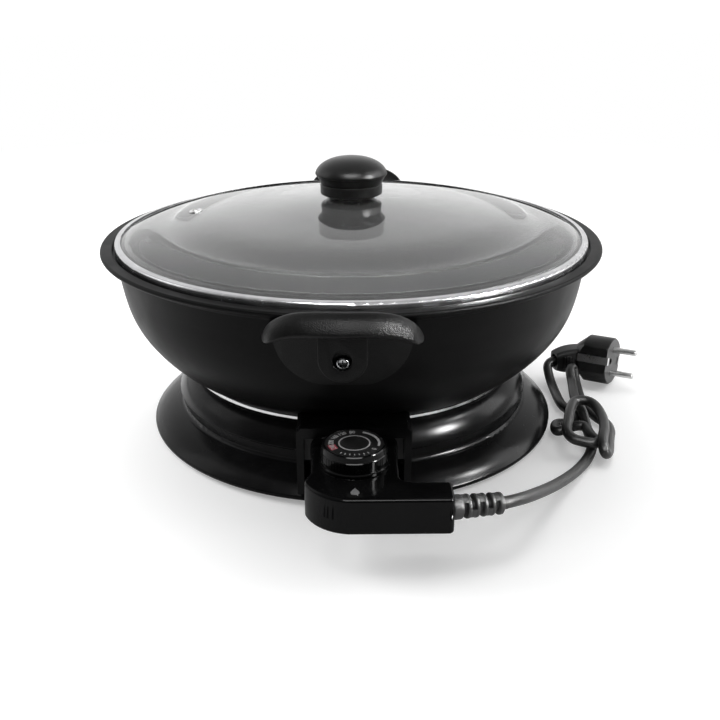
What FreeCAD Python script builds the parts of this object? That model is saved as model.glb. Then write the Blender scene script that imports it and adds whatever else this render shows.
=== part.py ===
import FreeCAD, Part
import math
import os

"""Electric wok: a cast pan on a two-step skirt, a lift-off glass lid and a plug-in dial thermostat.

Millimetres, +Z up. The origin is on the table under the pan's axis. The thermostat plugs in from -Y.
"""

V = FreeCAD.Vector
X_AXIS, Y_AXIS, Z_AXIS = V(1, 0, 0), V(0, 1, 0), V(0, 0, 1)

# Pan
RIM_R, RIM_Z = 180.0, 140.0
LEDGE_Z = 136.9                      # where the lid rests, inside the flange
STEP_R = 171.7                       # radius of the step round the ledge
WALL = [(122.4, 47.6), (140.6, 62), (152.0, 75), (159.9, 88), (165.2, 104), (168.2, 122), (170.0, 131.5)]
WALL_T = 3.0
PAN_FOOT_Z = 44.4
FLOOR_Z, FLOOR_R = 49.8, 104.0
RING_R = 119.0                       # seat of the bright trim ring

# Heater
SOCKET_Z = 36.5                      # height of the element, the pins and the probe
ELEMENT_R, ELEMENT_TUBE_R = 80.0, 3.5
RIB_Z = 32.0
PIN_X, PIN_R = 14.5, 2.5
PIN_TIP_Y, TUBE_END_Y = -153.0, -112.0

# Base
SKIRT_R = 153.3
SKIRT_T = 2.5
WEB_R = 100.5
PLATE_Z, PLATE_T, PLATE_R = 2.4, 1.6, 146.0
FOOT_CIRCLE_R, BOSS_CIRCLE_R, SKIRT_SCREW_R = 118.0, 117.0, 107.0

# Socket shroud
SHROUD_X, SHROUD_T = 35.9, 4.5
SHROUD_FRONT_Y, SHROUD_BACK_Y = -155.0, -118.0
SHROUD_TOP, SHROUD_WINDOW, SHROUD_LOW = 57.5, 50.4, 11.0
SHROUD_SCREW_X, SHROUD_SCREW_Z = 33.65, 22.5

# Handles
GRIP_HALF = 43.0
GRIP_NOSE = 216.8
HANDLE_SCREW_Z = 109.0
HANDLE_TURN = -2.1                   # the pair sits a little clockwise of the socket
BOSS_FACE = 170.0
SCREW_SEAT = 172.6
PLATE_OUT, PAD_OUT = 6.2, 8.8

# Lid
GLASS_TOP = [(33, 165.6), (75, 162.2), (113.6, 156.9), (145, 150.3), (165.6, 142.9)]
GLASS_Z, GLASS_T = 166.5, 3.9
BAND_R = 170.0
VENT_R, VENT_Z, VENT_TILT = 113.6, 156.9, 10.4
KNOB_R, KNOB_TOP = 25.8, 196.2

# Control
CTRL_LOW, CTRL_PART, CTRL_TOP = 24.5, 33.6, 47.5
CTRL_FRONT = -222.5
ARM_BACK, ARM_X = -202.0, 55.6
NECK_X, NECK_END = 25.8, -158.6
FLANGE_X, FLANGE_TOP, FLANGE_END = 27.0, 53.0, -155.3
SHELL_T = 2.3
HOUSING_X, HOUSING_END = 21.0, -141.0
PROBE_R, PROBE_TIP, PROBE_ROOT = 4.5, -71.0, -186.0
DIAL_Y, DIAL_Z, DIAL_TOP, DIAL_R = -180.0, 48.2, 60.8, 18.9
FLUTES = 60
SHELL_SCREWS = [(-20.0, -211.0), (41.0, -218.0), (19.4, -172.4)]

# Cord
GLAND_Y, GLAND_Z, GLAND_LENGTH = -212.0, 36.0, 32.0
GLAND_YAW, GLAND_DIP = 15.0, 4.5
CORD_D = 7.4
LEAD = [(96.8, -198.0, 32.2), (112.7, -176.6, 23.8), (128.3, -152.6, 14.4), (144.6, -128, 7.2), (156.6, -110, 4.2),
        (164.6, -96.5, 3.8), (170, -84, 3.8)]
TAIL = [(162.4, -38, 8.4), (163.4, -12, 4.4), (164.2, 14, 4.1), (163.6, 25, 6.4), (162.6, 33, 11.8),
        (162.4, 38.5, 15.8), (166.3, 42.8, 18.5)]
PLUG_FACE, PLUG_NECK = V(215.8, 35.5, 20.6), V(169.0, 43.4, 18.6)    # the boot is at an angle to the pins
PLUG_YAW, PLUG_TILT, PLUG_ROLL = -35.0, 3.0, -17.0
PLUG_LENGTH, PLUG_BORE = 30.0, 4.0
PRONG_R, PRONG_LENGTH, PRONG_GAP = 2.4, 19.0, 19.0


def edges_xz(start, *steps):
    """Joined edges in the XZ plane. A step is a point, (middle, end) for an arc, or ["spline", points...]."""
    here, edges = V(start[0], 0, start[1]), []
    for step in steps:
        if step[0] == "spline":
            points = [here] + [V(x, 0, z) for x, z in step[1:]]
            curve = Part.BSplineCurve()
            curve.interpolate(points)
            edges.append(curve.toShape())
            here = points[-1]
        elif isinstance(step[0], tuple):
            middle, end = V(step[0][0], 0, step[0][1]), V(step[1][0], 0, step[1][1])
            edges.append(Part.Arc(here, middle, end).toShape())
            here = end
        else:
            end = V(step[0], 0, step[1])
            edges.append(Part.makeLine(here, end))
            here = end
    first = V(start[0], 0, start[1])
    if (here - first).Length > 1e-6:
        edges.append(Part.makeLine(here, first))
    return edges


def turned(start, *steps):
    """A solid turned about Z from a closed profile in the XZ plane."""
    face = Part.Face(Part.Wire(edges_xz(start, *steps)))
    return face.revolve(V(0, 0, 0), Z_AXIS, 360)


def cylinder(radius, start, end):
    """A round bar from one point to another."""
    return Part.makeCylinder(radius, (end - start).Length, start, end - start)


def box(x0, x1, y0, y1, z0, z1):
    return Part.makeBox(x1 - x0, y1 - y0, z1 - z0, V(x0, y0, z0))


def round_the_axis(count, first_deg, radius, z=0.0):
    """Evenly spaced points on a circle round the pan's axis."""
    angles = [math.radians(first_deg + i * 360.0 / count) for i in range(count)]
    return [V(radius * math.cos(a), radius * math.sin(a), z) for a in angles]


def fused(shapes):
    first, rest = shapes[0], shapes[1:]
    return first.fuse(rest).removeSplitter() if rest else first


def along_y(shape, at):
    """Moves a shape made on +Z so that it points along -Y from a point."""
    out = shape.copy()
    out.rotate(V(0, 0, 0), X_AXIS, 90)
    out.translate(at)
    return out


def offset_outline(points, distance):
    """The same outline moved along its normals, to the right of its direction."""
    out = []
    for i, (x, z) in enumerate(points):
        before, after = points[max(i - 1, 0)], points[min(i + 1, len(points) - 1)]
        dx, dz = after[0] - before[0], after[1] - before[1]
        length = math.hypot(dx, dz)
        out.append((x + distance * dz / length, z - distance * dx / length))
    return out


def pan_screw(head_r, head_h, shank_r, shank_l):
    """A pan-head screw with a cross recess: seat at z = 0, head above it, shank below."""
    head = turned((0, 0), (head_r, 0), (head_r, head_h * 0.35),
                  ((head_r * 0.86, head_h * 0.8), (head_r * 0.5, head_h)), (0, head_h))
    slot = head_r * 0.55
    cross = [box(-slot, slot, -0.45, 0.45, head_h * 0.4, head_h + 1),
             box(-0.45, 0.45, -slot, slot, head_h * 0.4, head_h + 1)]
    shank = turned((0, 0.01), (shank_r, 0.01), (shank_r, 1 - shank_l), (shank_r * 0.6, -shank_l), (0, -shank_l))
    return head.cut(cross).fuse(shank)


# Pan and heater

def pan_outside(grow=0.0):
    """The pan's outer form as a filled solid, grown outwards along its wall."""
    wall = offset_outline(WALL, grow)
    return turned((0, PAN_FOOT_Z), (RING_R, PAN_FOOT_Z), (RING_R, 47.4), wall[0], ["spline"] + wall[1:],
                  ["spline", (172.0 + grow, 134.3), (175.2 + grow, 136.4)],
                  (178.4, 136.7), ((179.5, 137.2), (RIM_R, 138.4)), ((179.5, 139.5), (178.4, RIM_Z)), (0, RIM_Z))


def at_handle(shape, side):
    """From a place in front of the pan to the front handle's place (side -1) or the rear one's (side 1)."""
    out = shape.copy()
    out.rotate(V(0, 0, 0), Z_AXIS, HANDLE_TURN + (180 if side > 0 else 0))
    return out


def handle_boss():
    return cylinder(6.5, V(0, -164.0, HANDLE_SCREW_Z), V(0, -BOSS_FACE, HANDLE_SCREW_Z))


def wok_pan():
    inner = offset_outline(WALL, -WALL_T)[1:]
    hollow = turned((0, FLOOR_Z), (FLOOR_R, FLOOR_Z), ["spline", (123, 52.9)] + inner, (166.8, LEDGE_Z),
                    (STEP_R - 0.5, LEDGE_Z), ((STEP_R - 0.1, LEDGE_Z + 0.15), (STEP_R, LEDGE_Z + 0.5)),
                    (STEP_R, 139.5), (STEP_R + 0.6, RIM_Z + 0.01), (STEP_R + 0.6, 150), (0, 150))
    groove = ELEMENT_TUBE_R + 0.1
    rib = turned((73.0, PAN_FOOT_Z + 1), (73.6, RIB_Z), (ELEMENT_R - groove, RIB_Z),
                 (ELEMENT_R - groove, SOCKET_Z), ((ELEMENT_R, SOCKET_Z + groove), (ELEMENT_R + groove, SOCKET_Z)),
                 (ELEMENT_R + groove, RIB_Z), (86.4, RIB_Z), (87.0, PAN_FOOT_Z + 1))
    rib = rib.cut(box(-29, 29, -100, -60, 20, PAN_FOOT_Z))
    saddle = box(-6, 6, -104, -62, 38, PAN_FOOT_Z + 1).cut(
        cylinder(6.2, V(0, -110, SOCKET_Z), V(0, -50, SOCKET_Z)))
    pan = pan_outside().fuse([at_handle(handle_boss(), side) for side in (1, -1)]).cut(hollow)
    pan = pan.fuse([rib, saddle])
    blind = cylinder(2.0, V(0, -164.6, HANDLE_SCREW_Z), V(0, -172, HANDLE_SCREW_Z))
    holes = [at_handle(blind, side) for side in (1, -1)]
    holes += [cylinder(2.0, p, p + V(0, 0, 5)) for p in round_the_axis(4, 45, SKIRT_SCREW_R, 43.4)]
    return pan.cut(holes)


def trim_ring():
    """The bright ring that shows as a line between the pan and its base."""
    return turned((RING_R + 0.05, 44.6), (121.9, 44.6), ((122.4, 44.8), (122.6, 45.3)), (122.6, 46.9),
                  ((122.4, 47.2), (121.9, 47.35)), (RING_R + 0.05, 47.35))


def heating_element():
    """One loop of sheathed tube with both ends bent forward to the terminals."""
    bend, z = 12.0, SOCKET_Z
    centre_x = PIN_X + bend
    centre_y = -math.sqrt((ELEMENT_R + bend) ** 2 - centre_x ** 2)
    scale = ELEMENT_R / (ELEMENT_R + bend)
    join = V(centre_x * scale, centre_y * scale, z)
    toward = V(join.x - centre_x, join.y - centre_y, 0)
    middle_dir = (toward.normalize() + V(-1, 0, 0)).normalize()
    mid_point = V(centre_x, centre_y, z) + middle_dir * bend
    tail_end, tail_start = V(PIN_X, TUBE_END_Y, z), V(PIN_X, centre_y, z)

    def mirrored(p):
        return V(-p.x, p.y, p.z)

    path = Part.Wire([
        Part.makeLine(tail_end, tail_start),
        Part.Arc(tail_start, mid_point, join).toShape(),
        Part.Arc(join, V(0, ELEMENT_R, z), mirrored(join)).toShape(),
        Part.Arc(mirrored(join), mirrored(mid_point), mirrored(tail_start)).toShape(),
        Part.makeLine(mirrored(tail_start), mirrored(tail_end)),
    ])
    section = Part.Wire([Part.Circle(tail_end, Y_AXIS, ELEMENT_TUBE_R).toShape()])
    return path.makePipeShell([section], True, True)


def terminal_pins():
    pin = turned((0, 0), (PIN_R, 0), (PIN_R, TUBE_END_Y - PIN_TIP_Y - 1.2),
                 (PIN_R - 1.0, TUBE_END_Y - PIN_TIP_Y), (0, TUBE_END_Y - PIN_TIP_Y))
    return Part.makeCompound([along_y(pin, V(s * PIN_X, TUBE_END_Y, SOCKET_Z)) for s in (1, -1)])


def probe_guide():
    """The sleeve under the pan that the thermostat's probe slides into."""
    outer = cylinder(6.2, V(0, -118, SOCKET_Z), V(0, -62, SOCKET_Z))
    return outer.cut(cylinder(PROBE_R + 0.4, V(0, -119, SOCKET_Z), V(0, -66, SOCKET_Z)))


def terminal_block():
    """The insulating plate inside the shroud that holds the two pins."""
    half = SHROUD_X - SHROUD_T - 0.05
    plate = box(-half, half, -139, -132.5, 27, SHROUD_WINDOW - 0.05)
    cuts = [cylinder(PIN_R, V(s * PIN_X, -145, SOCKET_Z), V(s * PIN_X, -125, SOCKET_Z)) for s in (1, -1)]
    cuts.append(cylinder(6.2, V(0, -145, SOCKET_Z), V(0, -125, SOCKET_Z)))
    collars = [cylinder(4.6, V(s * PIN_X, -139, SOCKET_Z), V(s * PIN_X, -126, SOCKET_Z)) for s in (1, -1)]
    return plate.fuse(collars).cut(cuts)


def earth_spring():
    """A bent leaf that earths the pan to the probe, held in the terminal block."""
    outer = [V(-3, -139.05, 47.5), V(-3, -139.05, 44.9), V(-3, -140.1, 43.0), V(-3, -139.2, 41.3)]
    inner = [V(-3, -139.65, 41.1), V(-3, -140.6, 43.0), V(-3, -139.55, 45.1), V(-3, -139.55, 47.5)]
    return Part.Face(Part.makePolygon(outer + inner + outer[:1])).extrude(V(6, 0, 0))


# Base

def skirt_outside():
    """Two convex steps: the points of the skirt's outer form from the pan's foot to the table edge."""
    return [(119.6, 44.4), ["spline", (124.2, 41.6), (129.2, 36.0), (132.5, 29.0)],
            ((132.5, 27.6), (131.4, 27.1)), (130.6, 26.3), (130.6, 20.4), ((131.4, 18.3), (133.6, 17.2)),
            ["spline", (141.5, 14.4), (148.4, 10.4), (152.6, 6.2)], ((SKIRT_R, 4.4), (152.4, 2.7))]


def skirt_envelope():
    return turned((0, 44.4), *skirt_outside(), (0, 2.7))


def base_skirt():
    inner = [(150.4, 2.7), (150.2, 4.6), ["spline", (146.9, 8.3), (140.3, 12.0), (132.7, 14.8)],
             ((129.2, 16.6), (128.1, 20.2)), (128.1, 27.6), (129.7, 28.4),
             ["spline", (127.2, 34.2), (122.8, 39.2), (118.6, 41.8)], (WEB_R, 41.8)]
    skirt = turned((WEB_R, 44.4), *skirt_outside(), *inner)
    bosses = [cylinder(5.5, p, p + V(0, 0, 38.5)) for p in round_the_axis(4, 45, BOSS_CIRCLE_R, 4.0)]
    skirt = skirt.fuse(bosses)
    window = box(-SHROUD_X + 8, SHROUD_X - 8, -136, -96, 21, 46)
    holes = [cylinder(1.7, p, p + V(0, 0, 14)) for p in round_the_axis(4, 45, BOSS_CIRCLE_R, 3.0)]
    holes += [cylinder(2.1, p, p + V(0, 0, 6)) for p in round_the_axis(4, 45, SKIRT_SCREW_R, 40)]
    holes += [cylinder(1.55, V(s * SHROUD_SCREW_X, -136, SHROUD_SCREW_Z), V(s * SHROUD_SCREW_X, -118, SHROUD_SCREW_Z)) for s in (1, -1)]
    return skirt.cut([window] + holes)


def heat_shield():
    """A shallow sheet dish that keeps the element's heat off the skirt and the table."""
    dish = turned((0, 27.2), (95, 27.2), ((98.3, 28.1), (99.4, 30.6)), (99.4, 41.0), (110.3, 41.0),
                  (110.3, 41.8), (98.6, 41.8), (98.6, 31.0), ((97.6, 28.9), (95, 28.0)), (0, 28.0))
    cuts = [box(-27, 27, -112, -90, 29, 45)]
    cuts += [cylinder(2.1, p, p + V(0, 0, 6)) for p in round_the_axis(4, 45, SKIRT_SCREW_R, 38)]
    return dish.cut(cuts)


def bottom_plate():
    """The flat cover under the base, with a ring of cooling slots."""
    plate = turned((0, PLATE_Z), (PLATE_R, PLATE_Z), (PLATE_R, PLATE_Z + PLATE_T), (0, PLATE_Z + PLATE_T))
    slot = box(62, 88, -2, 2, 0, 6).fuse([cylinder(2, V(62, 0, 0), V(62, 0, 6)), cylinder(2, V(88, 0, 0), V(88, 0, 6))])
    cuts = []
    for i in range(16):
        cut = slot.removeSplitter()
        cut.rotate(V(0, 0, 0), Z_AXIS, i * 22.5)
        cuts.append(cut)
    cuts += [cylinder(1.7, p, p + V(0, 0, 6)) for p in round_the_axis(4, 45, BOSS_CIRCLE_R)]
    cuts += [cylinder(3.0, p, p + V(0, 0, 6)) for p in round_the_axis(4, 0, FOOT_CIRCLE_R)]
    return plate.cut(cuts)


def feet():
    foot = turned((0, 0), (7.6, 0), ((8.3, 0.3), (8.6, 1.0)), (8.9, PLATE_Z), (3.0, PLATE_Z), (3.0, PLATE_Z + PLATE_T),
                  (3.9, PLATE_Z + PLATE_T + 0.2), (2.2, PLATE_Z + PLATE_T + 3), (0, PLATE_Z + PLATE_T + 3))
    return Part.makeCompound([foot.translated(p) for p in round_the_axis(4, 0, FOOT_CIRCLE_R)])


def skirt_screws():
    screw = pan_screw(3.6, 2.2, 1.95, 6.8)
    screw.rotate(V(0, 0, 0), X_AXIS, 180)
    return Part.makeCompound([screw.translated(p) for p in round_the_axis(4, 45, SKIRT_SCREW_R, 41.0)])


def plate_screws():
    screw = pan_screw(3.4, 1.7, 1.6, 10)
    screw.rotate(V(0, 0, 0), X_AXIS, 180)
    return Part.makeCompound([screw.translated(p) for p in round_the_axis(4, 45, BOSS_CIRCLE_R, PLATE_Z)])


def socket_shroud():
    """The arch round the socket, open at the front and below, cut to sit on the skirt and the pan."""
    x, top, low, bevel = SHROUD_X, SHROUD_TOP, SHROUD_LOW, 2.8
    outline = Part.makePolygon([V(p[0], SHROUD_FRONT_Y, p[1]) for p in [
        (-x, low), (-x, top - bevel), (-x + bevel, top), (x - bevel, top), (x, top - bevel), (x, low),
        (x - SHROUD_T, low), (x - SHROUD_T, SHROUD_WINDOW), (SHROUD_T - x, SHROUD_WINDOW), (SHROUD_T - x, low),
        (-x, low)]])
    arch = Part.Face(outline).extrude(V(0, SHROUD_BACK_Y - SHROUD_FRONT_Y, 0))
    ring_room = turned((RING_R, 44.4), (123.4, 44.4), (123.4, 48.6), (RING_R, 48.6))
    arch = arch.cut([pan_outside(0.05), skirt_envelope(), ring_room])
    solids = sorted(arch.Solids, key=lambda s: s.Volume)
    holes = [cylinder(1.5, V(s * SHROUD_SCREW_X, -142, SHROUD_SCREW_Z), V(s * SHROUD_SCREW_X, -118, SHROUD_SCREW_Z)) for s in (1, -1)]
    return solids[-1].cut(holes)


def shroud_screws():
    screw = pan_screw(3.0, 2.0, 1.45, 17)
    screw.rotate(V(0, 0, 0), X_AXIS, -90)
    return Part.makeCompound([screw.translated(V(s * SHROUD_SCREW_X, -122.4, SHROUD_SCREW_Z)) for s in (1, -1)])


# Handles

def grip_section(x):
    """One slice of the hooded grip across X: it droops, draws in and thins towards its ends."""
    u = abs(x) / GRIP_HALF
    drop, draw, thin = 15 * u ** 4, 14 * u ** 2, 2.5 * max(0, u - 0.8) / 0.2
    back = math.sqrt((RIM_R + 0.9) ** 2 - x * x)

    def at(out, z):
        return V(x, -out, z)

    root_low, root_high = at(160, 126), at(160, 138)
    shelf, crest_foot = at(back, 138), at(back, 141.2 - 0.25 * drop)
    ridge = at(205.5 - 0.9 * draw, 152 - drop - 0.3 * thin)
    front_top = at(211 - 0.95 * draw, 149.6 - drop - 0.3 * thin)
    nose = at(GRIP_NOSE - draw, 142.2 - 0.8 * drop)
    lip = at(213 - draw, 137.8 - 0.75 * drop)
    hollow = at(199 - 0.9 * draw, 143 - 0.95 * drop + 0.2 * thin)
    heel = at(187 - 0.6 * draw, 137.5 - 0.7 * drop)
    under = at(176 - 0.25 * draw, 128.5 - 0.3 * drop)

    def between(a, b, t, lift):
        return a + (b - a) * t + V(0, 0, lift)

    def spline(*points):
        curve = Part.BSplineCurve()
        curve.interpolate(list(points))
        return curve.toShape()

    return Part.Wire([
        Part.makeLine(root_low, root_high), Part.makeLine(root_high, shelf), Part.makeLine(shelf, crest_foot),
        spline(crest_foot, between(crest_foot, ridge, 0.5, -1.2), ridge),
        Part.makeLine(ridge, front_top),
        spline(front_top, between(front_top, nose, 0.5, 1.2), nose),
        Part.Arc(nose, between(nose, lip, 0.5, -0.9), lip).toShape(),
        spline(lip, between(lip, hollow, 0.45, 0.6), hollow, heel, under),
        Part.makeLine(under, root_low)])


def handle_face(points_and_arcs, out):
    """A plate of the given front outline that follows the pan's wall at a thickness."""
    wire = Part.Wire(points_and_arcs)
    block = Part.Face(wire).extrude(V(0, -70, 0))
    grown = turned((0, 60), (120, 60), (offset_outline(WALL, out)[2][0], 75), ["spline"] + offset_outline(WALL, out)[3:],
                   (BOSS_FACE + out, 137), (0, 137))
    return block.common(grown)


def handle(side):
    """The hooded grip, its backing plate and the raised pad with a counterbored screw hole."""
    stations = [-1.0, -0.94, -0.82, -0.6, -0.3, 0.0, 0.3, 0.6, 0.82, 0.94, 1.0]
    grip = Part.makeLoft([grip_section(GRIP_HALF * s) for s in stations], True, False)
    y = -130
    plate_edges = [Part.makeLine(V(-42, y, 133), V(42, y, 133)), Part.makeLine(V(42, y, 133), V(40, y, 118.5)),
                   Part.Arc(V(40, y, 118.5), V(33.6, y, 104.6), V(24, y, 96.6)).toShape(),
                   Part.Arc(V(24, y, 96.6), V(19, y, 94.2), V(13, y, 93)).toShape(),
                   Part.makeLine(V(13, y, 93), V(-13, y, 93)),
                   Part.Arc(V(-13, y, 93), V(-19, y, 94.2), V(-24, y, 96.6)).toShape(),
                   Part.Arc(V(-24, y, 96.6), V(-33.6, y, 104.6), V(-40, y, 118.5)).toShape(),
                   Part.makeLine(V(-40, y, 118.5), V(-42, y, 133))]
    pad_edges = [Part.makeLine(V(-15, y, 133), V(15, y, 133)), Part.makeLine(V(15, y, 133), V(15, y, 110)),
                 Part.Arc(V(15, y, 110), V(0, y, 95), V(-15, y, 110)).toShape(),
                 Part.makeLine(V(-15, y, 110), V(-15, y, 133))]
    body = grip.fuse([handle_face(plate_edges, PLATE_OUT), handle_face(pad_edges, PAD_OUT)])
    body = body.cut([pan_outside(), handle_boss()])
    body = sorted(body.Solids, key=lambda s: s.Volume)[-1]
    holes = [cylinder(5.9, V(0, -SCREW_SEAT, HANDLE_SCREW_Z), V(0, -190, HANDLE_SCREW_Z)),
             cylinder(2.15, V(0, -160, HANDLE_SCREW_Z), V(0, -190, HANDLE_SCREW_Z))]
    return at_handle(body.cut(holes), side)


def handle_screws():
    screw = along_y(pan_screw(4.0, 2.6, 1.95, SCREW_SEAT - 165.0), V(0, -SCREW_SEAT, HANDLE_SCREW_Z))
    return Part.makeCompound([at_handle(screw, side) for side in (-1, 1)])


# Lid

def vent_place(shape):
    out = shape.copy()
    out.rotate(V(0, 0, 0), Y_AXIS, -VENT_TILT)
    out.translate(V(-VENT_R, 0, VENT_Z))
    return out


def lid_glass():
    under = offset_outline([(0, GLASS_Z)] + GLASS_TOP, GLASS_T)[1:]
    glass = turned((0, GLASS_Z), (9, GLASS_Z), ["spline"] + GLASS_TOP, (168.4, 141.9), (168.9, 141.4), (168.9, 138.4),
                   (163.9, 138.6), ["spline"] + under[-1::-1] + [(9, GLASS_Z - GLASS_T)], (0, GLASS_Z - GLASS_T))
    return glass.cut([cylinder(4.2, V(0, 0, 155), V(0, 0, 170)), vent_place(cylinder(3.1, V(0, 0, -9), V(0, 0, 5)))])


def lid_band():
    """The rolled steel band that wraps the edge of the glass."""
    z = LEDGE_Z + 0.3
    return turned((164.2, z), (168.6, z), ((169.6, z + 0.4), (BAND_R, z + 1.4)), (BAND_R, 142.4),
                  ((169.5, 143.4), (168.3, 143.8)), (165.7, 144.0), (165.7, 143.0), (168.2, 142.8),
                  ((168.8, 142.6), (169.0, 142.0)), (169.0, z + 1.5), ((168.8, z + 1.0), (168.3, z + 0.9)),
                  (164.2, z + 0.9))


def steam_vent():
    eyelet = turned((2.0, -4.8), (4.2, -4.8), (4.2, -4.2), (3.05, -4.2), (3.05, 0.15), (4.9, 0.15),
                    ((4.7, 0.7), (3.9, 0.95)), ((2.7, 0.8), (2.0, -0.2)))
    return vent_place(eyelet)


def knob_cap():
    return turned((0, KNOB_TOP), ["spline", (10, 195.4), (18.8, 192.4), (24.2, 188.0), (KNOB_R, 184.6)],
                  ((25.6, 183.6), (24.9, 183.0)), (21.6, 177.1), (21.6, 176.8), (4.0, 176.8), (4.0, 190), (0, 190))


def knob_collar():
    return turned((2.6, 168.0), (6.5, 168.0), (6.5, 172.5), (16.8, 172.5), (16.8, 168.0), (18.3, 168.0),
                  (22.2, 170.1), (22.4, 170.6), (22.4, 176.4), (22.0, 176.8), (2.6, 176.8))


def knob_insert():
    return turned((2.5, 176.8), (4.0, 176.8), (4.0, 190), (2.5, 190))


def knob_screw():
    screw = pan_screw(5.2, 2.6, 2.45, 27)
    screw.rotate(V(0, 0, 0), X_AXIS, 180)
    return screw.translated(V(0, 0, GLASS_Z - GLASS_T - 1.5))


def disc_ring(outer, inner, z0, z1):
    return turned((inner, z0), (outer, z0), (outer, z1), (inner, z1))


def knob_washers():
    below = GLASS_Z - GLASS_T
    return Part.makeCompound([disc_ring(7.4, 2.6, GLASS_Z + 0.6, 168.0), disc_ring(8.6, 2.6, below - 1.5, below - 0.6)])


def knob_gaskets():
    below = GLASS_Z - GLASS_T
    return Part.makeCompound([disc_ring(8.2, 2.6, GLASS_Z, GLASS_Z + 0.6), disc_ring(8.2, 2.6, below - 0.6, below)])


# Control

def control_outline(z):
    """The plan of the housing: a neck towards the pan, a big round front corner and an arm to the cord."""
    front, back, arm = CTRL_FRONT, ARM_BACK, ARM_X

    def line(a, b):
        return Part.makeLine(V(a[0], a[1], z), V(b[0], b[1], z))

    def arc(a, m, b):
        return Part.Arc(V(a[0], a[1], z), V(m[0], m[1], z), V(b[0], b[1], z)).toShape()

    def corner(cx, cy, radius, start_deg, end_deg):
        """An arc given by its centre and the angles where it starts and ends."""
        at = [math.radians(d) for d in (start_deg, (start_deg + end_deg) / 2, end_deg)]
        return arc(*[(cx + radius * math.cos(a), cy + radius * math.sin(a)) for a in at])

    big, small, inside, flare, left = 18.0, 3.2, 8.0, 12.0, -30.6
    cx, cy = left + big, front + big
    across = -NECK_X - flare - cx
    rise = math.sqrt((big + flare) ** 2 - across ** 2)
    lean = math.degrees(math.atan2(rise, across))
    return Part.Wire([
        line((NECK_X, NECK_END), (-NECK_X, NECK_END)),
        line((-NECK_X, NECK_END), (-NECK_X, cy + rise)),
        corner(-NECK_X - flare, cy + rise, flare, 0, lean - 180),
        corner(cx, cy, big, lean, 270),
        line((left + big, front), (arm - small, front)),
        corner(arm - small, front + small, small, 270, 360),
        line((arm, front + small), (arm, back - small)),
        corner(arm - small, back - small, small, 0, 90),
        line((arm - small, back), (NECK_X + inside, back)),
        corner(NECK_X + inside, back + inside, inside, 270, 180),
        line((NECK_X, back + inside), (NECK_X, NECK_END))])


def rounded_plate(half, low, high, radius, y0, y1):
    """An upright plate across X with round upper corners."""
    edges = [Part.makeLine(V(-half, y0, low), V(half, y0, low)),
             Part.makeLine(V(half, y0, low), V(half, y0, high - radius))]
    turn = radius * (1 - math.sqrt(0.5))
    edges += [Part.Arc(V(half, y0, high - radius), V(half - turn, y0, high - turn), V(half - radius, y0, high)).toShape(),
              Part.makeLine(V(half - radius, y0, high), V(radius - half, y0, high)),
              Part.Arc(V(radius - half, y0, high), V(turn - half, y0, high - turn), V(-half, y0, high - radius)).toShape(),
              Part.makeLine(V(-half, y0, high - radius), V(-half, y0, low))]
    return Part.Face(Part.Wire(edges)).extrude(V(0, y1 - y0, 0))


def drop_outline(grow=0.0):
    """The drop-shaped pilot window, whose tip is the dial's pointer."""
    radius, cy, tip = 2.5 + grow, -215.0, -210.0 + grow
    side = math.radians(28)
    touch = V(radius * math.cos(side), cy + radius * math.sin(side), 0)
    return Part.Wire([Part.makeLine(V(0, tip, 0), touch),
                      Part.Arc(touch, V(0, cy - radius, 0), V(-touch.x, touch.y, 0)).toShape(),
                      Part.makeLine(V(-touch.x, touch.y, 0), V(0, tip, 0))])


def drop_prism(grow, z0, z1):
    return Part.Face(drop_outline(grow)).extrude(V(0, 0, z1 - z0)).translated(V(0, 0, z0))


def control_body():
    """Both shells in one, hollow, before they are split at the parting line."""
    outline = control_outline(CTRL_LOW)
    solid = Part.Face(outline).extrude(V(0, 0, CTRL_TOP - CTRL_LOW))
    top = [e for e in solid.Edges if abs(e.CenterOfMass.z - CTRL_TOP) < 1e-6 and e.BoundBox.YMin < NECK_END - 1]
    solid = solid.makeFillet(2.4, top)
    bottom = [e for e in solid.Edges if abs(e.CenterOfMass.z - CTRL_LOW) < 1e-6 and e.BoundBox.YMin < NECK_END - 1]
    solid = solid.makeFillet(1.6, bottom)
    flange = rounded_plate(FLANGE_X, CTRL_LOW, FLANGE_TOP, 8.0, NECK_END, FLANGE_END)
    cavity = Part.Face(outline.makeOffset2D(-SHELL_T)).extrude(V(0, 0, CTRL_TOP - CTRL_LOW - 2 * SHELL_T))
    cavity.translate(V(0, 0, SHELL_T))
    bosses = [cylinder(3.6, V(x, y, CTRL_LOW + 1), V(x, y, CTRL_TOP - 1)) for x, y in SHELL_SCREWS]
    mouth = box(-HOUSING_X - 0.05, HOUSING_X + 0.05, NECK_END - 4, FLANGE_END + 1, 27.4, 45.6)
    body = solid.fuse(flange).cut(cavity).fuse(bosses)
    return body.cut([mouth, gland_neck(5.05, 6.0, 4.0)])


def control_upper_shell(body):
    shell = body.common(box(-80, 80, -240, -140, CTRL_PART, 70))
    seat = turned((19.2, CTRL_TOP - 0.5), (21.4, CTRL_TOP - 0.5), (21.2, CTRL_TOP + 0.4), (19.4, CTRL_TOP + 0.4))
    cuts = [cylinder(3.4, V(0, DIAL_Y, 40), V(0, DIAL_Y, 52)), drop_prism(0.05, 40, 52)]
    cuts += [cylinder(1.3, V(x, y, 30), V(x, y, CTRL_TOP - 4)) for x, y in SHELL_SCREWS]
    return shell.fuse(seat.translated(V(0, DIAL_Y, 0))).cut(cuts)


def control_lower_shell(body):
    shell = body.common(box(-80, 80, -240, -140, 20, CTRL_PART))
    cuts = [cylinder(1.7, V(x, y, 20), V(x, y, 40)) for x, y in SHELL_SCREWS]
    cuts += [cylinder(3.2, V(x, y, 20), V(x, y, CTRL_LOW + 2.6)) for x, y in SHELL_SCREWS]
    return shell.cut(cuts)


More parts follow.
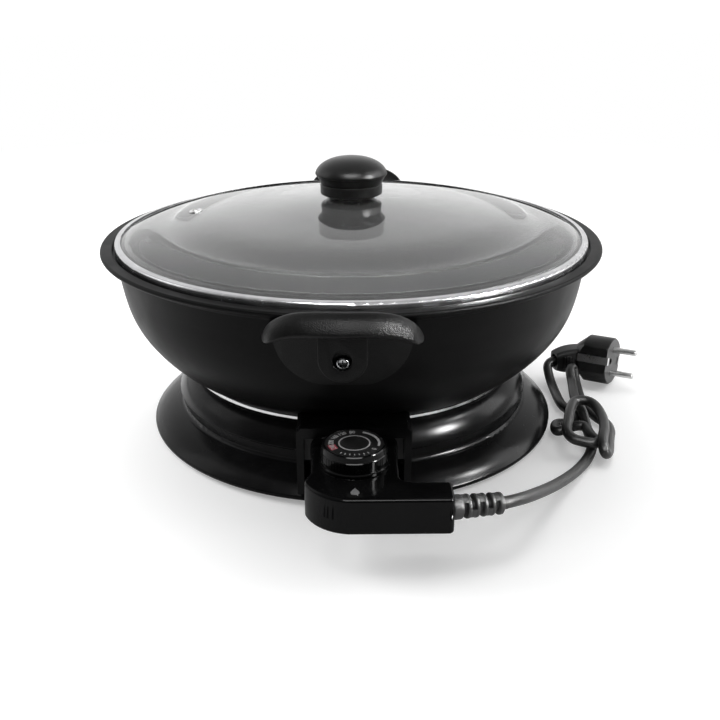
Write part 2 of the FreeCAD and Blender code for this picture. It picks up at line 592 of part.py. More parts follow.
def shell_screws():
    screw = pan_screw(2.9, 2.0, 1.25, 15)
    screw.rotate(V(0, 0, 0), X_AXIS, 180)
    return Part.makeCompound([screw.translated(V(x, y, CTRL_LOW + 2.6)) for x, y in SHELL_SCREWS])


def contact_housing():
    """The insulating nose that goes into the shroud, bored for the two pins and the probe."""
    block = rounded_plate(HOUSING_X, 27.5, 45.5, 3.0, NECK_END - 3, HOUSING_END)
    edges = [e for e in block.Edges if abs(e.CenterOfMass.y - HOUSING_END) < 1e-6]
    block = block.makeChamfer(1.0, edges)
    cuts = [cylinder(4.0, V(s * PIN_X, -170, SOCKET_Z), V(s * PIN_X, HOUSING_END - 1.2, SOCKET_Z)) for s in (1, -1)]
    cuts += [cylinder(3.2, V(s * PIN_X, -160, SOCKET_Z), V(s * PIN_X, -130, SOCKET_Z)) for s in (1, -1)]
    cuts.append(cylinder(PROBE_R + 0.05, V(0, -170, SOCKET_Z), V(0, -130, SOCKET_Z)))
    return block.cut(cuts)


def contact_sleeves():
    tube = disc_ring(3.95, PIN_R + 0.35, 0, 24)
    return Part.makeCompound([along_y(tube, V(s * PIN_X, HOUSING_END - 1.3, SOCKET_Z)) for s in (1, -1)])


def probe_tube():
    """The sealed sensing tube: its tip presses into the guide under the pan."""
    length = PROBE_TIP - PROBE_ROOT
    tube = turned((0, 0), (PROBE_R, 0), (PROBE_R, length - 3), ((PROBE_R - 0.9, length - 0.7), (2.2, length)), (0, length))
    tube = tube.cut(turned((0, -1), (PROBE_R - 0.7, -1), (PROBE_R - 0.7, length - 4), (0, length - 4)))
    tube.rotate(V(0, 0, 0), X_AXIS, -90)
    return tube.translated(V(0, PROBE_ROOT, SOCKET_Z))


def thermostat_frame():
    """A bent steel channel that carries the dial's bush and the root of the probe."""
    top = box(-9.5, 9.5, -200, -163, 42.9, 44.1)
    sides = [box(min(s * 8.3, s * 9.5), max(s * 8.3, s * 9.5), -200, -163, 28, 43.5) for s in (1, -1)]
    end = box(-9.5, 9.5, -164.2, -163, 28, 43.5)
    cuts = [cylinder(4.8, V(0, DIAL_Y, 40), V(0, DIAL_Y, 48)),
            cylinder(PROBE_R + 0.02, V(0, -170, SOCKET_Z), V(0, -160, SOCKET_Z))]
    return fused([top, end] + sides).cut(cuts)


def dial_bush():
    return disc_ring(4.8, 3.05, 41.4, 45.1).fuse(disc_ring(6.2, 3.05, 41.4, 42.9)).translated(V(0, DIAL_Y, 0))


def ceramic_block():
    block = box(-8.2, 8.2, -199, -189, 28.5, 40.6)
    return block.cut([box(-5, 5, -200, -188, z, z + 0.6) for z in (32.0, 36.0)])


def switch_blades():
    """Two leaf springs that meet at silver contacts and break the heater's circuit."""
    out = []
    for z, dot in ((32.0, 1), (36.0, -1)):
        blade = box(-2.6, 2.6, -209, -190, z + 0.05, z + 0.55)
        z0 = z + 0.55 if dot > 0 else z + 0.05 - 1.2
        out.append(blade.fuse(cylinder(1.8, V(0, -207, z0), V(0, -207, z0 + 1.2))))
    return Part.makeCompound(out)


def pilot_lamp():
    bulb = turned((0, -5.5), (2.0, -5.5), (2.6, -4.8), (2.6, 4.0), ((2.2, 5.5), (1.0, 6.3)), (0, 6.3))
    bulb.rotate(V(0, 0, 0), Y_AXIS, 90)
    return bulb.translated(V(0, -215, 40.6))


def pilot_lens():
    return drop_prism(0.0, 43.3, CTRL_TOP + 0.5).fuse(drop_prism(0.9, 43.3, CTRL_TOP - SHELL_T - 0.05))


def gland_way():
    yaw, dip = math.radians(GLAND_YAW), math.radians(GLAND_DIP)
    return V(math.cos(dip) * math.cos(yaw), math.cos(dip) * math.sin(yaw), -math.sin(dip))


def gland_tip():
    return V(ARM_X, GLAND_Y, GLAND_Z) + gland_way() * GLAND_LENGTH


def gland_neck(radius, back, front):
    """A round bar on the gland's axis, from behind the wall of the arm to in front of it."""
    root = V(ARM_X, GLAND_Y, GLAND_Z)
    return cylinder(radius, root - gland_way() * back, root + gland_way() * front)


def strain_relief():
    """A tapered sleeve with staggered slots, so that it bends evenly with the cord."""
    root, tip, core = 7.4, 6.6, CORD_D / 2 + 0.7
    sleeve = turned((0, -3.0), (root, -3.0), (root, 3.0), (tip, GLAND_LENGTH - 1.0), (tip - 0.8, GLAND_LENGTH),
                    (0, GLAND_LENGTH))
    for i in range(6):
        z0 = 1.6 + i * 4.95
        for s in (1, -1):
            lo, hi = sorted((s * core, s * 12))
            sleeve = sleeve.cut(box(-4.8, 4.8, lo, hi, z0, z0 + 2.7) if i % 2 else box(lo, hi, -4.8, 4.8, z0, z0 + 2.7))
    sleeve.rotate(V(0, 0, 0), Y_AXIS, 90 + GLAND_DIP)
    sleeve.rotate(V(0, 0, 0), Z_AXIS, GLAND_YAW)
    sleeve.translate(V(ARM_X, GLAND_Y, GLAND_Z))
    sleeve = sleeve.cut(box(ARM_X - 20, ARM_X + 0.05, GLAND_Y - 20, GLAND_Y + 20, GLAND_Z - 20, GLAND_Z + 20))
    return fused([sleeve, gland_neck(5.0, 7.0, 3.0), gland_neck(6.4, 7.0, -4.9)])


# Dial

def dial_knob():
    """A flat round dial: a polished cheek over fine flutes, and a flared foot ring."""
    foot, cheek = 21.0, DIAL_R
    body = turned((0, DIAL_Z + 1.6), (19.9, DIAL_Z + 1.6), (19.9, DIAL_Z + 8.6), (cheek + 0.6, DIAL_Z + 9.0),
                  (cheek, DIAL_TOP - 0.5), (cheek - 0.5, DIAL_TOP), (cheek - 1.3, DIAL_TOP), (cheek - 1.3, DIAL_TOP - 0.6),
                  (0, DIAL_TOP - 0.6))
    ring = turned((0, DIAL_Z), (foot, DIAL_Z), (foot, DIAL_Z + 1.4), (foot - 0.8, DIAL_Z + 2.0), (0, DIAL_Z + 2.0))
    star = []
    for i in range(2 * FLUTES):
        angle = math.pi * i / FLUTES
        radius = 21.4 if i % 2 else 19.35
        star.append(V(radius * math.cos(angle), radius * math.sin(angle), DIAL_Z + 2.6))
    fluted = Part.Face(Part.makePolygon(star + star[:1])).extrude(V(0, 0, 6.0))
    below = turned((0, DIAL_Z + 1.6), (19.9, DIAL_Z + 1.6), (19.9, DIAL_Z + 2.6), (0, DIAL_Z + 2.6))
    above = turned((0, DIAL_Z + 8.6), (30, DIAL_Z + 8.6), (30, DIAL_Z + 14), (0, DIAL_Z + 14))
    knob = body.common(fused([fluted, below, above])).fuse(ring)
    knob = knob.cut(Part.makeCylinder(3.0, 9.0, V(0, 0, DIAL_Z - 1)))
    return knob.translated(V(0, DIAL_Y, 0))


def dial_plate():
    return turned((0, DIAL_TOP - 0.6), (DIAL_R - 1.35, DIAL_TOP - 0.6), (DIAL_R - 1.35, DIAL_TOP - 0.2),
                  (0, DIAL_TOP - 0.2)).translated(V(0, DIAL_Y, 0))


def dial_spindle():
    return Part.makeCylinder(3.0, DIAL_Z + 8.0 - 41.3, V(0, DIAL_Y, 41.3))


# Cord and plug

def plug_place(shape):
    """From the plug's own frame, face at the origin and pins along +X, to where it lies on the table."""
    out = shape.copy()
    out.rotate(V(0, 0, 0), X_AXIS, PLUG_ROLL)
    out.rotate(V(0, 0, 0), Y_AXIS, -PLUG_TILT)
    out.rotate(V(0, 0, 0), Z_AXIS, PLUG_YAW)
    return out.translated(PLUG_FACE)


def plug_section(x, half_y, half_z, radius):
    """A rectangle with round corners across the X axis."""
    k = radius * (1 - math.sqrt(0.5))
    edges, last, first = [], None, None
    for sy, sz in ((1, 1), (-1, 1), (-1, -1), (1, -1)):
        upright, level = V(x, sy * half_y, sz * (half_z - radius)), V(x, sy * (half_y - radius), sz * half_z)
        a, b = (upright, level) if sy * sz > 0 else (level, upright)
        if last is None:
            first = a
        else:
            edges.append(Part.makeLine(last, a))
        edges.append(Part.Arc(a, V(x, sy * (half_y - k), sz * (half_z - k)), b).toShape())
        last = b
    edges.append(Part.makeLine(last, first))
    return Part.Wire(edges)


def boot_way():
    """From the mouth of the boot to the back of the head."""
    return (plug_place(Part.Vertex(V(-24, 0, 0))).Point - PLUG_NECK).normalize()


def plug_boot():
    """The ribbed cord entry, which meets the head at an angle so that the plug lies flat to a wall."""
    sections = [(0, 6.8, 7.4, 3.4), (7, 7.8, 9.6, 3.6), (15, 8.6, 10.4, 3.8), (26, 8.8, 9.6, 3.8)]
    boot = Part.makeLoft([plug_section(*section) for section in sections], True, False)
    rings = [Part.makeLoft([plug_section(x, 8.6 + 0.02 * x, 5.6, 1.2), plug_section(x + 1.1, 8.6 + 0.02 * x, 5.6, 1.2)],
                           True, True) for x in (5.4, 7.8, 10.2, 12.6)]
    mouth = Part.makeCone(5.7, 4.4, PLUG_BORE + 0.05, V(-0.01, 0, 0), X_AXIS)
    boot = boot.fuse(rings).cut(mouth)
    way = boot_way()
    boot.rotate(V(0, 0, 0), Y_AXIS, -math.degrees(math.asin(way.z)))
    boot.rotate(V(0, 0, 0), Z_AXIS, math.degrees(math.atan2(way.y, way.x)))
    return boot.translated(PLUG_NECK)


def plug_body():
    """A round moulded head with two flats and side slots, and the boot that the cord comes out of."""
    back = -PLUG_LENGTH
    head = turned((0, back), (11.5, back), (19.4, -20.5), (19.4, -1.2), (18.4, 0), (0, 0))
    head.rotate(V(0, 0, 0), Y_AXIS, 90)
    head = head.common(box(back - 1, 1, -16.6, 16.6, -30, 30))
    cuts = []
    for s in (1, -1):
        lo, hi = sorted((s * 14.6, s * 18))
        cuts.append(box(-26, 1, lo, hi, -3.4, 3.4))
        cuts.append(cylinder(PRONG_R - 0.2, V(-12, 0, s * PRONG_GAP / 2), V(1, 0, s * PRONG_GAP / 2)))
    cuts.append(cylinder(2.6, V(-12, -5.2, 0), V(1, -5.2, 0)))
    return fused([plug_place(head), plug_boot()]).cut([plug_place(cut) for cut in cuts])


def plug_prongs():
    prong = turned((0, -11.9), (PRONG_R - 0.2, -11.9), (PRONG_R - 0.2, 0.02), (PRONG_R, 0.02), (PRONG_R, PRONG_LENGTH - 1.6),
                   ((PRONG_R - 0.5, PRONG_LENGTH - 0.4), (1.1, PRONG_LENGTH)), (0, PRONG_LENGTH))
    prong.rotate(V(0, 0, 0), Y_AXIS, 90)
    return plug_place(Part.makeCompound([prong.translated(V(0, 0, s * PRONG_GAP / 2)) for s in (1, -1)]))


def plug_earth_clips():
    """The two side springs that meet the socket's earth contacts."""
    clips = []
    for s in (1, -1):
        lo, hi = sorted((s * 14.6, s * 15.4))
        leg = sorted((s * 12.0, s * 15.4))
        clips.append(box(-25, 0.8, lo, hi, -3.1, 3.1).fuse(box(0, 0.8, leg[0], leg[1], -3.1, 3.1)))
    return plug_place(Part.makeCompound(clips))


def cord_tube(points, name):
    """A round tube on straight runs and tangent arcs, each arc as large as its two runs allow."""
    points = [V(*p) for p in points]
    edges, radii, here = [], [], points[0]
    for a, b, c in zip(points, points[1:], points[2:]):
        u, w = (b - a).normalize(), (c - b).normalize()
        shorter = min((b - a).Length, (c - b).Length)
        turn = u.getAngle(w)
        cut = 0.45 * shorter
        radius = cut / math.tan(turn / 2)
        start, end = b - u * cut, b + w * cut
        inward = (w - u).normalize()
        middle = b + inward * (radius / math.cos(turn / 2) - radius)
        edges += [Part.LineSegment(here, start).toShape(), Part.Arc(start, middle, end).toShape()]
        radii.append(radius)
        here = end
    edges.append(Part.LineSegment(here, points[-1]).toShape())
    path = Part.Wire(edges)
    section = Part.Wire([Part.Circle(points[0], points[1] - points[0], CORD_D / 2).toShape()])
    tube = path.makePipeShell([section], True, True)
    expected = math.pi * (CORD_D / 2) ** 2 * path.Length
    print(name, "length %.1f" % path.Length, "volume ratio %.4f" % (tube.Volume / expected),
          "radii", [round(r, 1) for r in radii])
    return tube


def cord_lead():
    return cord_tube([tuple(gland_tip())] + LEAD, "cord_lead")


def cord_tail():
    return cord_tube(TAIL + [tuple(PLUG_NECK + boot_way() * PLUG_BORE)], "cord_tail")


def cord_knot():
    """The outer form of the loose knot that the middle of the cord is tied in, with its folded-over end."""
    plan = [(148, -60), (150.5, -80), (160, -94), (173, -100.5), (184, -94), (190.5, -78), (194, -58), (192, -40),
            (184, -30.5), (172, -27.5), (160, -34)]
    centre = V(171.5, -62, 0)

    def layer(z, scale):
        points = [V(centre.x + (x - centre.x) * scale, centre.y + (y - centre.y) * scale, z) for x, y in plan]
        curve = Part.BSplineCurve()
        curve.interpolate(points, True)
        return Part.Wire([curve.toShape()])

    lump = Part.makeLoft([layer(0.2, 0.86), layer(6, 1.0), layer(14, 0.97), layer(22.5, 0.7)], True, True)
    fold = [(-42, 179, 7.4, 8.2, 7.0), (-14, 179.2, 6.0, 7.8, 5.6), (2, 180.2, 6.0, 7.4, 5.0), (17.3, 181.4, 11, 7.2, 4.6),
            (27.2, 182.3, 16, 6.8, 4.2), (33, 182.3, 18.8, 5.0, 3.2)]
    rings = []
    for y, x, z, half_x, half_z in fold:
        major, minor = max(half_x, half_z), min(half_x, half_z)
        ellipse = Part.Ellipse(V(x, y, z), major, minor)
        ellipse.Axis = Y_AXIS
        rings.append(Part.Wire([ellipse.toShape()]))
    return lump.fuse(Part.makeLoft(rings, True, True))


def build():
    control = control_body()
    return {
        "wok_pan": wok_pan(), "trim_ring": trim_ring(), "heating_element": heating_element(),
        "terminal_pins": terminal_pins(), "probe_guide": probe_guide(), "terminal_block": terminal_block(),
        "earth_spring": earth_spring(), "base_skirt": base_skirt(), "heat_shield": heat_shield(),
        "bottom_plate": bottom_plate(), "feet": feet(), "skirt_screws": skirt_screws(),
        "plate_screws": plate_screws(), "socket_shroud": socket_shroud(), "shroud_screws": shroud_screws(),
        "front_handle": handle(-1), "rear_handle": handle(1), "handle_screws": handle_screws(),
        "lid_glass": lid_glass(), "lid_band": lid_band(), "steam_vent": steam_vent(), "knob_cap": knob_cap(),
        "knob_collar": knob_collar(), "knob_insert": knob_insert(), "knob_screw": knob_screw(),
        "knob_washers": knob_washers(), "knob_gaskets": knob_gaskets(),
        "control_upper_shell": control_upper_shell(control), "control_lower_shell": control_lower_shell(control),
        "shell_screws": shell_screws(), "contact_housing": contact_housing(), "contact_sleeves": contact_sleeves(),
        "probe_tube": probe_tube(), "thermostat_frame": thermostat_frame(), "dial_bush": dial_bush(),
        "ceramic_block": ceramic_block(), "switch_blades": switch_blades(), "pilot_lamp": pilot_lamp(),
        "pilot_lens": pilot_lens(), "strain_relief": strain_relief(), "dial_knob": dial_knob(),
        "dial_plate": dial_plate(), "dial_spindle": dial_spindle(), "cord_lead": cord_lead(),
        "cord_knot": cord_knot(), "cord_tail": cord_tail(), "plug_body": plug_body(),
        "plug_prongs": plug_prongs(), "plug_earth_clips": plug_earth_clips(),
    }


def main():
    os.makedirs("parts", exist_ok=True)
    for name, shape in build().items():
        shape.exportStep("parts/" + name + ".step")
        state = "ok" if shape.isValid() and shape.Solids else "BAD"
        print("%-22s %s solids %d volume %.0f" % (name, state, len(shape.Solids), shape.Volume))


main()
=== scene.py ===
"""Electric wok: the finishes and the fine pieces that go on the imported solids.

Metres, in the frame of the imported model: the origin is on the table under the pan's axis, +Z is up and the
thermostat plugs in from -Y.
"""
import logging
import math
from dataclasses import dataclass
from enum import Enum
from typing import Callable, ClassVar, Iterable, Sequence

import bpy
from mathutils import Matrix, Vector


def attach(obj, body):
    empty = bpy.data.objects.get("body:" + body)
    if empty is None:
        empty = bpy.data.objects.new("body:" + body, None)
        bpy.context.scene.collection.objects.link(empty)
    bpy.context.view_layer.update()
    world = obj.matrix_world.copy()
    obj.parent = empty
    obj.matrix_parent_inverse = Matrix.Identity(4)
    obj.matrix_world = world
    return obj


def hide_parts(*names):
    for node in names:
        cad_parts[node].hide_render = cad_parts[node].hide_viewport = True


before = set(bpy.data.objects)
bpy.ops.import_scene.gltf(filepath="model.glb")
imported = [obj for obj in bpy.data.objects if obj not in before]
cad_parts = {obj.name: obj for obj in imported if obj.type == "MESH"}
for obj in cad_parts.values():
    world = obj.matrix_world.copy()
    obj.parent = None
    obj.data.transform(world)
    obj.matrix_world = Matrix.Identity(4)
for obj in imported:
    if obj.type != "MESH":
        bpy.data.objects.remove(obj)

Point = tuple[float, float, float]
Colour = tuple[float, float, float]
LOG = logging.getLogger("electric_wok")
MM = 0.001
WELD = 0.00001                          # metres within which points are merged
FLAT = math.radians(1)                  # bend below which neighbouring faces become one


class Body(Enum):
    """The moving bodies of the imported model."""

    COOKER = "cooker"
    LID = "lid"
    CONTROL = "control"
    DIAL = "dial"


# Node trees

class Nodes:
    """A node tree while it is put together."""

    def __init__(self, tree: bpy.types.NodeTree) -> None:
        """Empties the tree."""
        self.tree = tree
        tree.nodes.clear()

    def add(self, kind: str, inputs: dict[object, object] | None = None, **settings: object) -> bpy.types.Node:
        """Adds a node.

        Args:
            kind: Blender's name of the node.
            inputs: sockets to link from, or plain values, by the input's name or number.
            settings: properties of the node itself.

        Returns:
            The new node.
        """
        node = self.tree.nodes.new(kind)
        for key, value in settings.items():
            setattr(node, key, value)
        for key, value in (inputs or {}).items():
            self.feed(node.inputs[key], value)
        return node

    def feed(self, socket: bpy.types.NodeSocket, value: object) -> None:
        """Links a socket into an input, or sets the input to a plain value.

        Args:
            socket: the input.
            value: another node's output, or a number, colour or vector.
        """
        if isinstance(value, bpy.types.NodeSocket):
            self.tree.links.new(value, socket)
        elif isinstance(value, tuple) and len(value) == 3 and socket.type == "RGBA":
            socket.default_value = (*value, 1.0)
        else:
            socket.default_value = value

    def maths(self, operation: str, first: object, second: object = 0.0) -> bpy.types.NodeSocket:
        """One arithmetic step on two numbers or sockets."""
        return self.add("ShaderNodeMath", {0: first, 1: second}, operation=operation).outputs[0]

    def spread(self, value: bpy.types.NodeSocket, low: float, high: float, start: float = 0.3,
               end: float = 0.7) -> bpy.types.NodeSocket:
        """Maps a value from start..end to low..high."""
        inputs = {"Value": value, "From Min": start, "From Max": end, "To Min": low, "To Max": high}
        return self.add("ShaderNodeMapRange", inputs).outputs["Result"]


class Graph(Nodes):
    """The node tree of one material."""

    def __init__(self, name: str) -> None:
        """Starts a material of that name with one principled shader.

        Args:
            name: the finish's name.
        """
        self.material = bpy.data.materials.new("finish_" + name)
        self.material.use_nodes = True
        super().__init__(self.material.node_tree)
        self.output = self.tree.nodes.new("ShaderNodeOutputMaterial")
        self.shader = self.add("ShaderNodeBsdfPrincipled")
        self.tree.links.new(self.shader.outputs["BSDF"], self.output.inputs["Surface"])

    def place(self, centre: Point = (0, 0, 0), stretch: Point = (1, 1, 1)) -> bpy.types.NodeSocket:
        """Object coordinates about a centre.

        Args:
            centre: where they are zero.
            stretch: what they are multiplied by along each axis.

        Returns:
            The coordinates as a vector.
        """
        coords = self.add("ShaderNodeTexCoord")
        offset = tuple(-c * s for c, s in zip(centre, stretch))
        mapping = self.add("ShaderNodeMapping", {"Vector": coords.outputs["Object"], "Location": offset,
                                                 "Scale": stretch})
        return mapping.outputs["Vector"]

    def round_axis(self, centre: Point, across: float, up: float, out: float) -> bpy.types.NodeSocket:
        """Coordinates that run round an upright axis.

        Args:
            centre: a point on the axis.
            across: cells per radian round the axis.
            up: cells per metre along it.
            out: cells per metre away from it.

        Returns:
            A vector of the three.
        """
        parts = self.add("ShaderNodeSeparateXYZ", {0: self.place(centre)})
        x, y, z = parts.outputs
        angle = self.maths("MULTIPLY", self.maths("ARCTAN2", y, x), across)
        square = self.maths("ADD", self.maths("MULTIPLY", x, x), self.maths("MULTIPLY", y, y))
        radius = self.maths("MULTIPLY", self.maths("SQRT", square), out)
        joined = self.add("ShaderNodeCombineXYZ", {0: angle, 1: radius, 2: self.maths("MULTIPLY", z, up)})
        return joined.outputs[0]

    def noise(self, vector: bpy.types.NodeSocket, scale: float, detail: float = 3.0,
              rough: float = 0.55) -> bpy.types.NodeSocket:
        """Soft noise with that many cells per unit of the vector."""
        inputs = {"Vector": vector, "Scale": scale, "Detail": detail, "Roughness": rough}
        return self.add("ShaderNodeTexNoise", inputs).outputs["Fac"]

    def cells(self, vector: bpy.types.NodeSocket, scale: float) -> bpy.types.NodeSocket:
        """Distance to the nearest of scattered points, for pebble grain."""
        return self.add("ShaderNodeTexVoronoi", {"Vector": vector, "Scale": scale}).outputs["Distance"]

    def tint(self, value: bpy.types.NodeSocket, dark: Colour, light: Colour, start: float = 0.35,
             end: float = 0.65) -> bpy.types.NodeSocket:
        """A colour between two, by a value.

        Args:
            value: what picks the colour.
            dark: the colour at start and below.
            light: the colour at end and above.
            start: the value where the change begins.
            end: the value where it ends.

        Returns:
            The colour.
        """
        ramp = self.add("ShaderNodeValToRGB", {"Fac": value})
        stops = ramp.color_ramp.elements
        stops[0].position, stops[0].color = start, (*dark, 1.0)
        stops[1].position, stops[1].color = end, (*light, 1.0)
        return ramp.outputs["Color"]

    def relief(self, height: bpy.types.NodeSocket, depth: float, strength: float = 1.0,
               over: bpy.types.NodeSocket | None = None) -> bpy.types.NodeSocket:
        """A bumped normal.

        Args:
            height: the relief, from 0 to 1.
            depth: metres from its lowest to its highest point.
            strength: share of the bump that shows.
            over: the normal that it goes on top of, if there is one.

        Returns:
            The normal.
        """
        inputs: dict[object, object] = {"Height": height, "Distance": depth, "Strength": strength}
        if over is not None:
            inputs["Normal"] = over
        return self.add("ShaderNodeBump", inputs).outputs["Normal"]

    def finish(self, **values: object) -> bpy.types.Material:
        """Sets the shader's inputs.

        Args:
            values: sockets or plain values by the input's name, with _ for a space.

        Returns:
            The material.
        """
        for key, value in values.items():
            self.feed(self.shader.inputs[key.replace("_", " ")], value)
        return self.material


# Finishes

class Finish:
    """A surface finish: one material, made when it is first asked for."""

    name: str
    made: ClassVar[dict[str, bpy.types.Material]] = {}

    def material(self) -> bpy.types.Material:
        """The finish as a material.

        Returns:
            The material, the same one each time.
        """
        if self.name not in self.made:
            self.made[self.name] = self.make()
        return self.made[self.name]

    def make(self) -> bpy.types.Material:
        """Builds the material."""
        raise NotImplementedError


@dataclass(frozen=True)
class Moulding(Finish):
    """A moulded plastic or rubber with a fine grain and a slightly uneven gloss."""

    name: str
    dark: Colour
    light: Colour
    gloss: tuple[float, float]          # roughness of the shinier and the duller patches
    grain: float = 2500.0               # pebbles per metre
    depth: float = 0.00004              # height of the grain
    specular: float = 0.5
    coat: float = 0.0
    patches: float = 60.0               # cloudiness, cells per metre

    def make(self) -> bpy.types.Material:
        """Builds cloudy colour, uneven gloss, pebble grain and a long slow waviness.

        Returns:
            The material.
        """
        graph = Graph(self.name)
        here = graph.place()
        cloud = graph.noise(here, self.patches, 5.0)
        speck = graph.noise(here, self.grain * 0.6, 2.0)
        pebble = graph.cells(here, self.grain)
        wave = graph.relief(graph.noise(here, self.patches * 0.5, 1.0), 0.00025, 0.3)
        values: dict[str, object] = {
            "Base_Color": graph.tint(graph.maths("ADD", graph.maths("MULTIPLY", cloud, 0.75),
                                                 graph.maths("MULTIPLY", speck, 0.25)), self.dark, self.light),
            "Roughness": graph.spread(cloud, *self.gloss),
            "Normal": graph.relief(pebble, self.depth, 0.8, wave),
            "Specular_IOR_Level": self.specular,
        }
        if self.coat:
            values |= {"Coat_Weight": self.coat, "Coat_Roughness": 0.06}
        return graph.finish(**values)


@dataclass(frozen=True)
class PolishedPlastic(Finish):
    """Gloss-black plastic: a deep shine with faint haze, hairline scratches and moulding flow."""

    name: str
    dark: Colour
    light: Colour
    gloss: tuple[float, float] = (0.05, 0.12)
    specular: float = 0.5
    ripple: float = 0.00006

    def make(self) -> bpy.types.Material:
        """Builds the haze, the scratches and the shallow ripple.

        Returns:
            The material.
        """
        graph = Graph(self.name)
        here = graph.place()
        haze = graph.noise(here, 45.0, 6.0, 0.6)
        across = graph.noise(graph.place(stretch=(40.0, 900.0, 500.0)), 1.0, 2.0)
        along = graph.noise(graph.place(stretch=(800.0, 35.0, 450.0)), 1.0, 2.0)
        hairs = graph.spread(graph.maths("MAXIMUM", across, along), 0.0, 1.0, 0.66, 0.78)
        rough = graph.maths("ADD", graph.spread(haze, *self.gloss), graph.maths("MULTIPLY", hairs, 0.09))
        wave = graph.relief(graph.noise(here, 28.0, 2.0), self.ripple, 0.5)
        return graph.finish(Base_Color=graph.tint(haze, self.dark, self.light), Roughness=rough,
                            Normal=graph.relief(hairs, 0.000004, 0.4, wave), Specular_IOR_Level=self.specular)


@dataclass(frozen=True)
class Metal(Finish):
    """Plain, turned or brushed metal. Lines run round an upright axis where there is one."""

    name: str
    dark: Colour
    light: Colour
    gloss: tuple[float, float]
    lines: float = 900.0                # fine lines per metre across their run
    axis: Point | None = (0, 0, 0)
    depth: float = 0.00001
    metallic: float = 1.0

    def make(self) -> bpy.types.Material:
        """Builds the lines and the light tarnish.

        Returns:
            The material.
        """
        graph = Graph(self.name)
        here = graph.place()
        cloud = graph.noise(here, 70.0, 5.0)
        if self.axis is None:
            line = graph.noise(graph.place(stretch=(60.0, self.lines, self.lines)), 1.0, 3.0)
        else:
            line = graph.noise(graph.round_axis(self.axis, 4.0, self.lines, self.lines), 1.0, 3.0)
        both = graph.maths("ADD", graph.maths("MULTIPLY", cloud, 0.5), graph.maths("MULTIPLY", line, 0.5))
        return graph.finish(Base_Color=graph.tint(both, self.dark, self.light),
                            Roughness=graph.spread(both, *self.gloss), Metallic=self.metallic,
                            Normal=graph.relief(line, self.depth, 0.5))


@dataclass(frozen=True)
class NonStick(Finish):
    """The baked non-stick coat on cast aluminium: satin black, orange-peel skin, tiny light flecks."""

    name: str
    dark: Colour
    light: Colour
    gloss: tuple[float, float]
    specular: float = 0.4

    def make(self) -> bpy.types.Material:
        """Builds the peel, the flecks and the faint rings that spraying on a turntable leaves.

        Returns:
            The material.
        """
        graph = Graph(self.name)
        here = graph.place()
        cloud = graph.noise(here, 35.0, 4.0)
        fleck = graph.spread(graph.cells(here, 900.0), 1.0, 0.0, 0.04, 0.12)
        rings = graph.noise(graph.round_axis((0, 0, 0), 2.0, 160.0, 160.0), 1.0, 2.0)
        base = graph.tint(graph.maths("ADD", graph.maths("MULTIPLY", cloud, 0.7),
                                      graph.maths("MULTIPLY", rings, 0.3)), self.dark, self.light)
        mixed = graph.add("ShaderNodeMix", {"Factor": graph.maths("MULTIPLY", fleck, 0.18), 6: base,
                                            7: (0.16, 0.16, 0.165, 1.0)}, data_type="RGBA")
        peel = graph.relief(graph.noise(here, 1400.0, 2.0), 0.00003, 0.5,
                            graph.relief(graph.noise(here, 320.0, 2.0), 0.00005, 0.25))
        return graph.finish(Base_Color=mixed.outputs[2], Roughness=graph.spread(cloud, *self.gloss), Normal=peel,
                            Specular_IOR_Level=self.specular)


@dataclass(frozen=True)
class ClearGlass(Finish):
    """Tempered glass or a clear moulding: a faint tint, a faint roll wave and dust near the skin."""

    name: str
    dark: Colour
    light: Colour
    gloss: tuple[float, float] = (0.0, 0.02)
    index: float = 1.5
    wave: float = 0.0001
    clear: float = 1.0                  # the rest is a milky haze

    def make(self) -> bpy.types.Material:
        """Builds the tint, the wave and the fine wiping marks.

        Returns:
            The material.
        """
        graph = Graph(self.name)
        here = graph.place()
        cloud = graph.noise(here, 25.0, 4.0)
        wipe = graph.noise(graph.round_axis((0, 0, 0), 3.0, 200.0, 260.0), 1.0, 3.0)
        return graph.finish(Base_Color=graph.tint(cloud, self.dark, self.light), IOR=self.index,
                            Transmission_Weight=self.clear,
                            Roughness=graph.spread(graph.maths("MULTIPLY", wipe, cloud), *self.gloss, 0.2, 0.4),
                            Normal=graph.relief(graph.noise(here, 14.0, 1.0), self.wave, 0.4))


@dataclass(frozen=True)
class Ink(Finish):
    """Pad-printed ink: slightly uneven cover and a matt skin."""

    name: str
    dark: Colour
    light: Colour

    def make(self) -> bpy.types.Material:
        """Builds the uneven cover.

        Returns:
            The material.
        """
        graph = Graph(self.name)
        here = graph.place()
        cover = graph.noise(here, 2200.0, 4.0)
        return graph.finish(Base_Color=graph.tint(cover, self.dark, self.light),
                            Roughness=graph.spread(cover, 0.35, 0.55),
                            Normal=graph.relief(cover, 0.00001, 0.5))


@dataclass(frozen=True)
class CordRubber(Finish):
    """The cord's extruded sheath: soft satin with faint lines and dust."""

    name: str
    dark: Colour
    light: Colour
    gloss: tuple[float, float]

    def make(self) -> bpy.types.Material:
        """Builds a mottled satin with a very fine skin.

        Returns:
            The material.
        """
        graph = Graph(self.name)
        here = graph.place()
        cloud = graph.noise(here, 90.0, 5.0)
        skin = graph.noise(here, 5200.0, 2.0)
        return graph.finish(Base_Color=graph.tint(cloud, self.dark, self.light),
                            Roughness=graph.spread(cloud, *self.gloss), Specular_IOR_Level=0.5,
                            Normal=graph.relief(skin, 0.00002, 0.6))


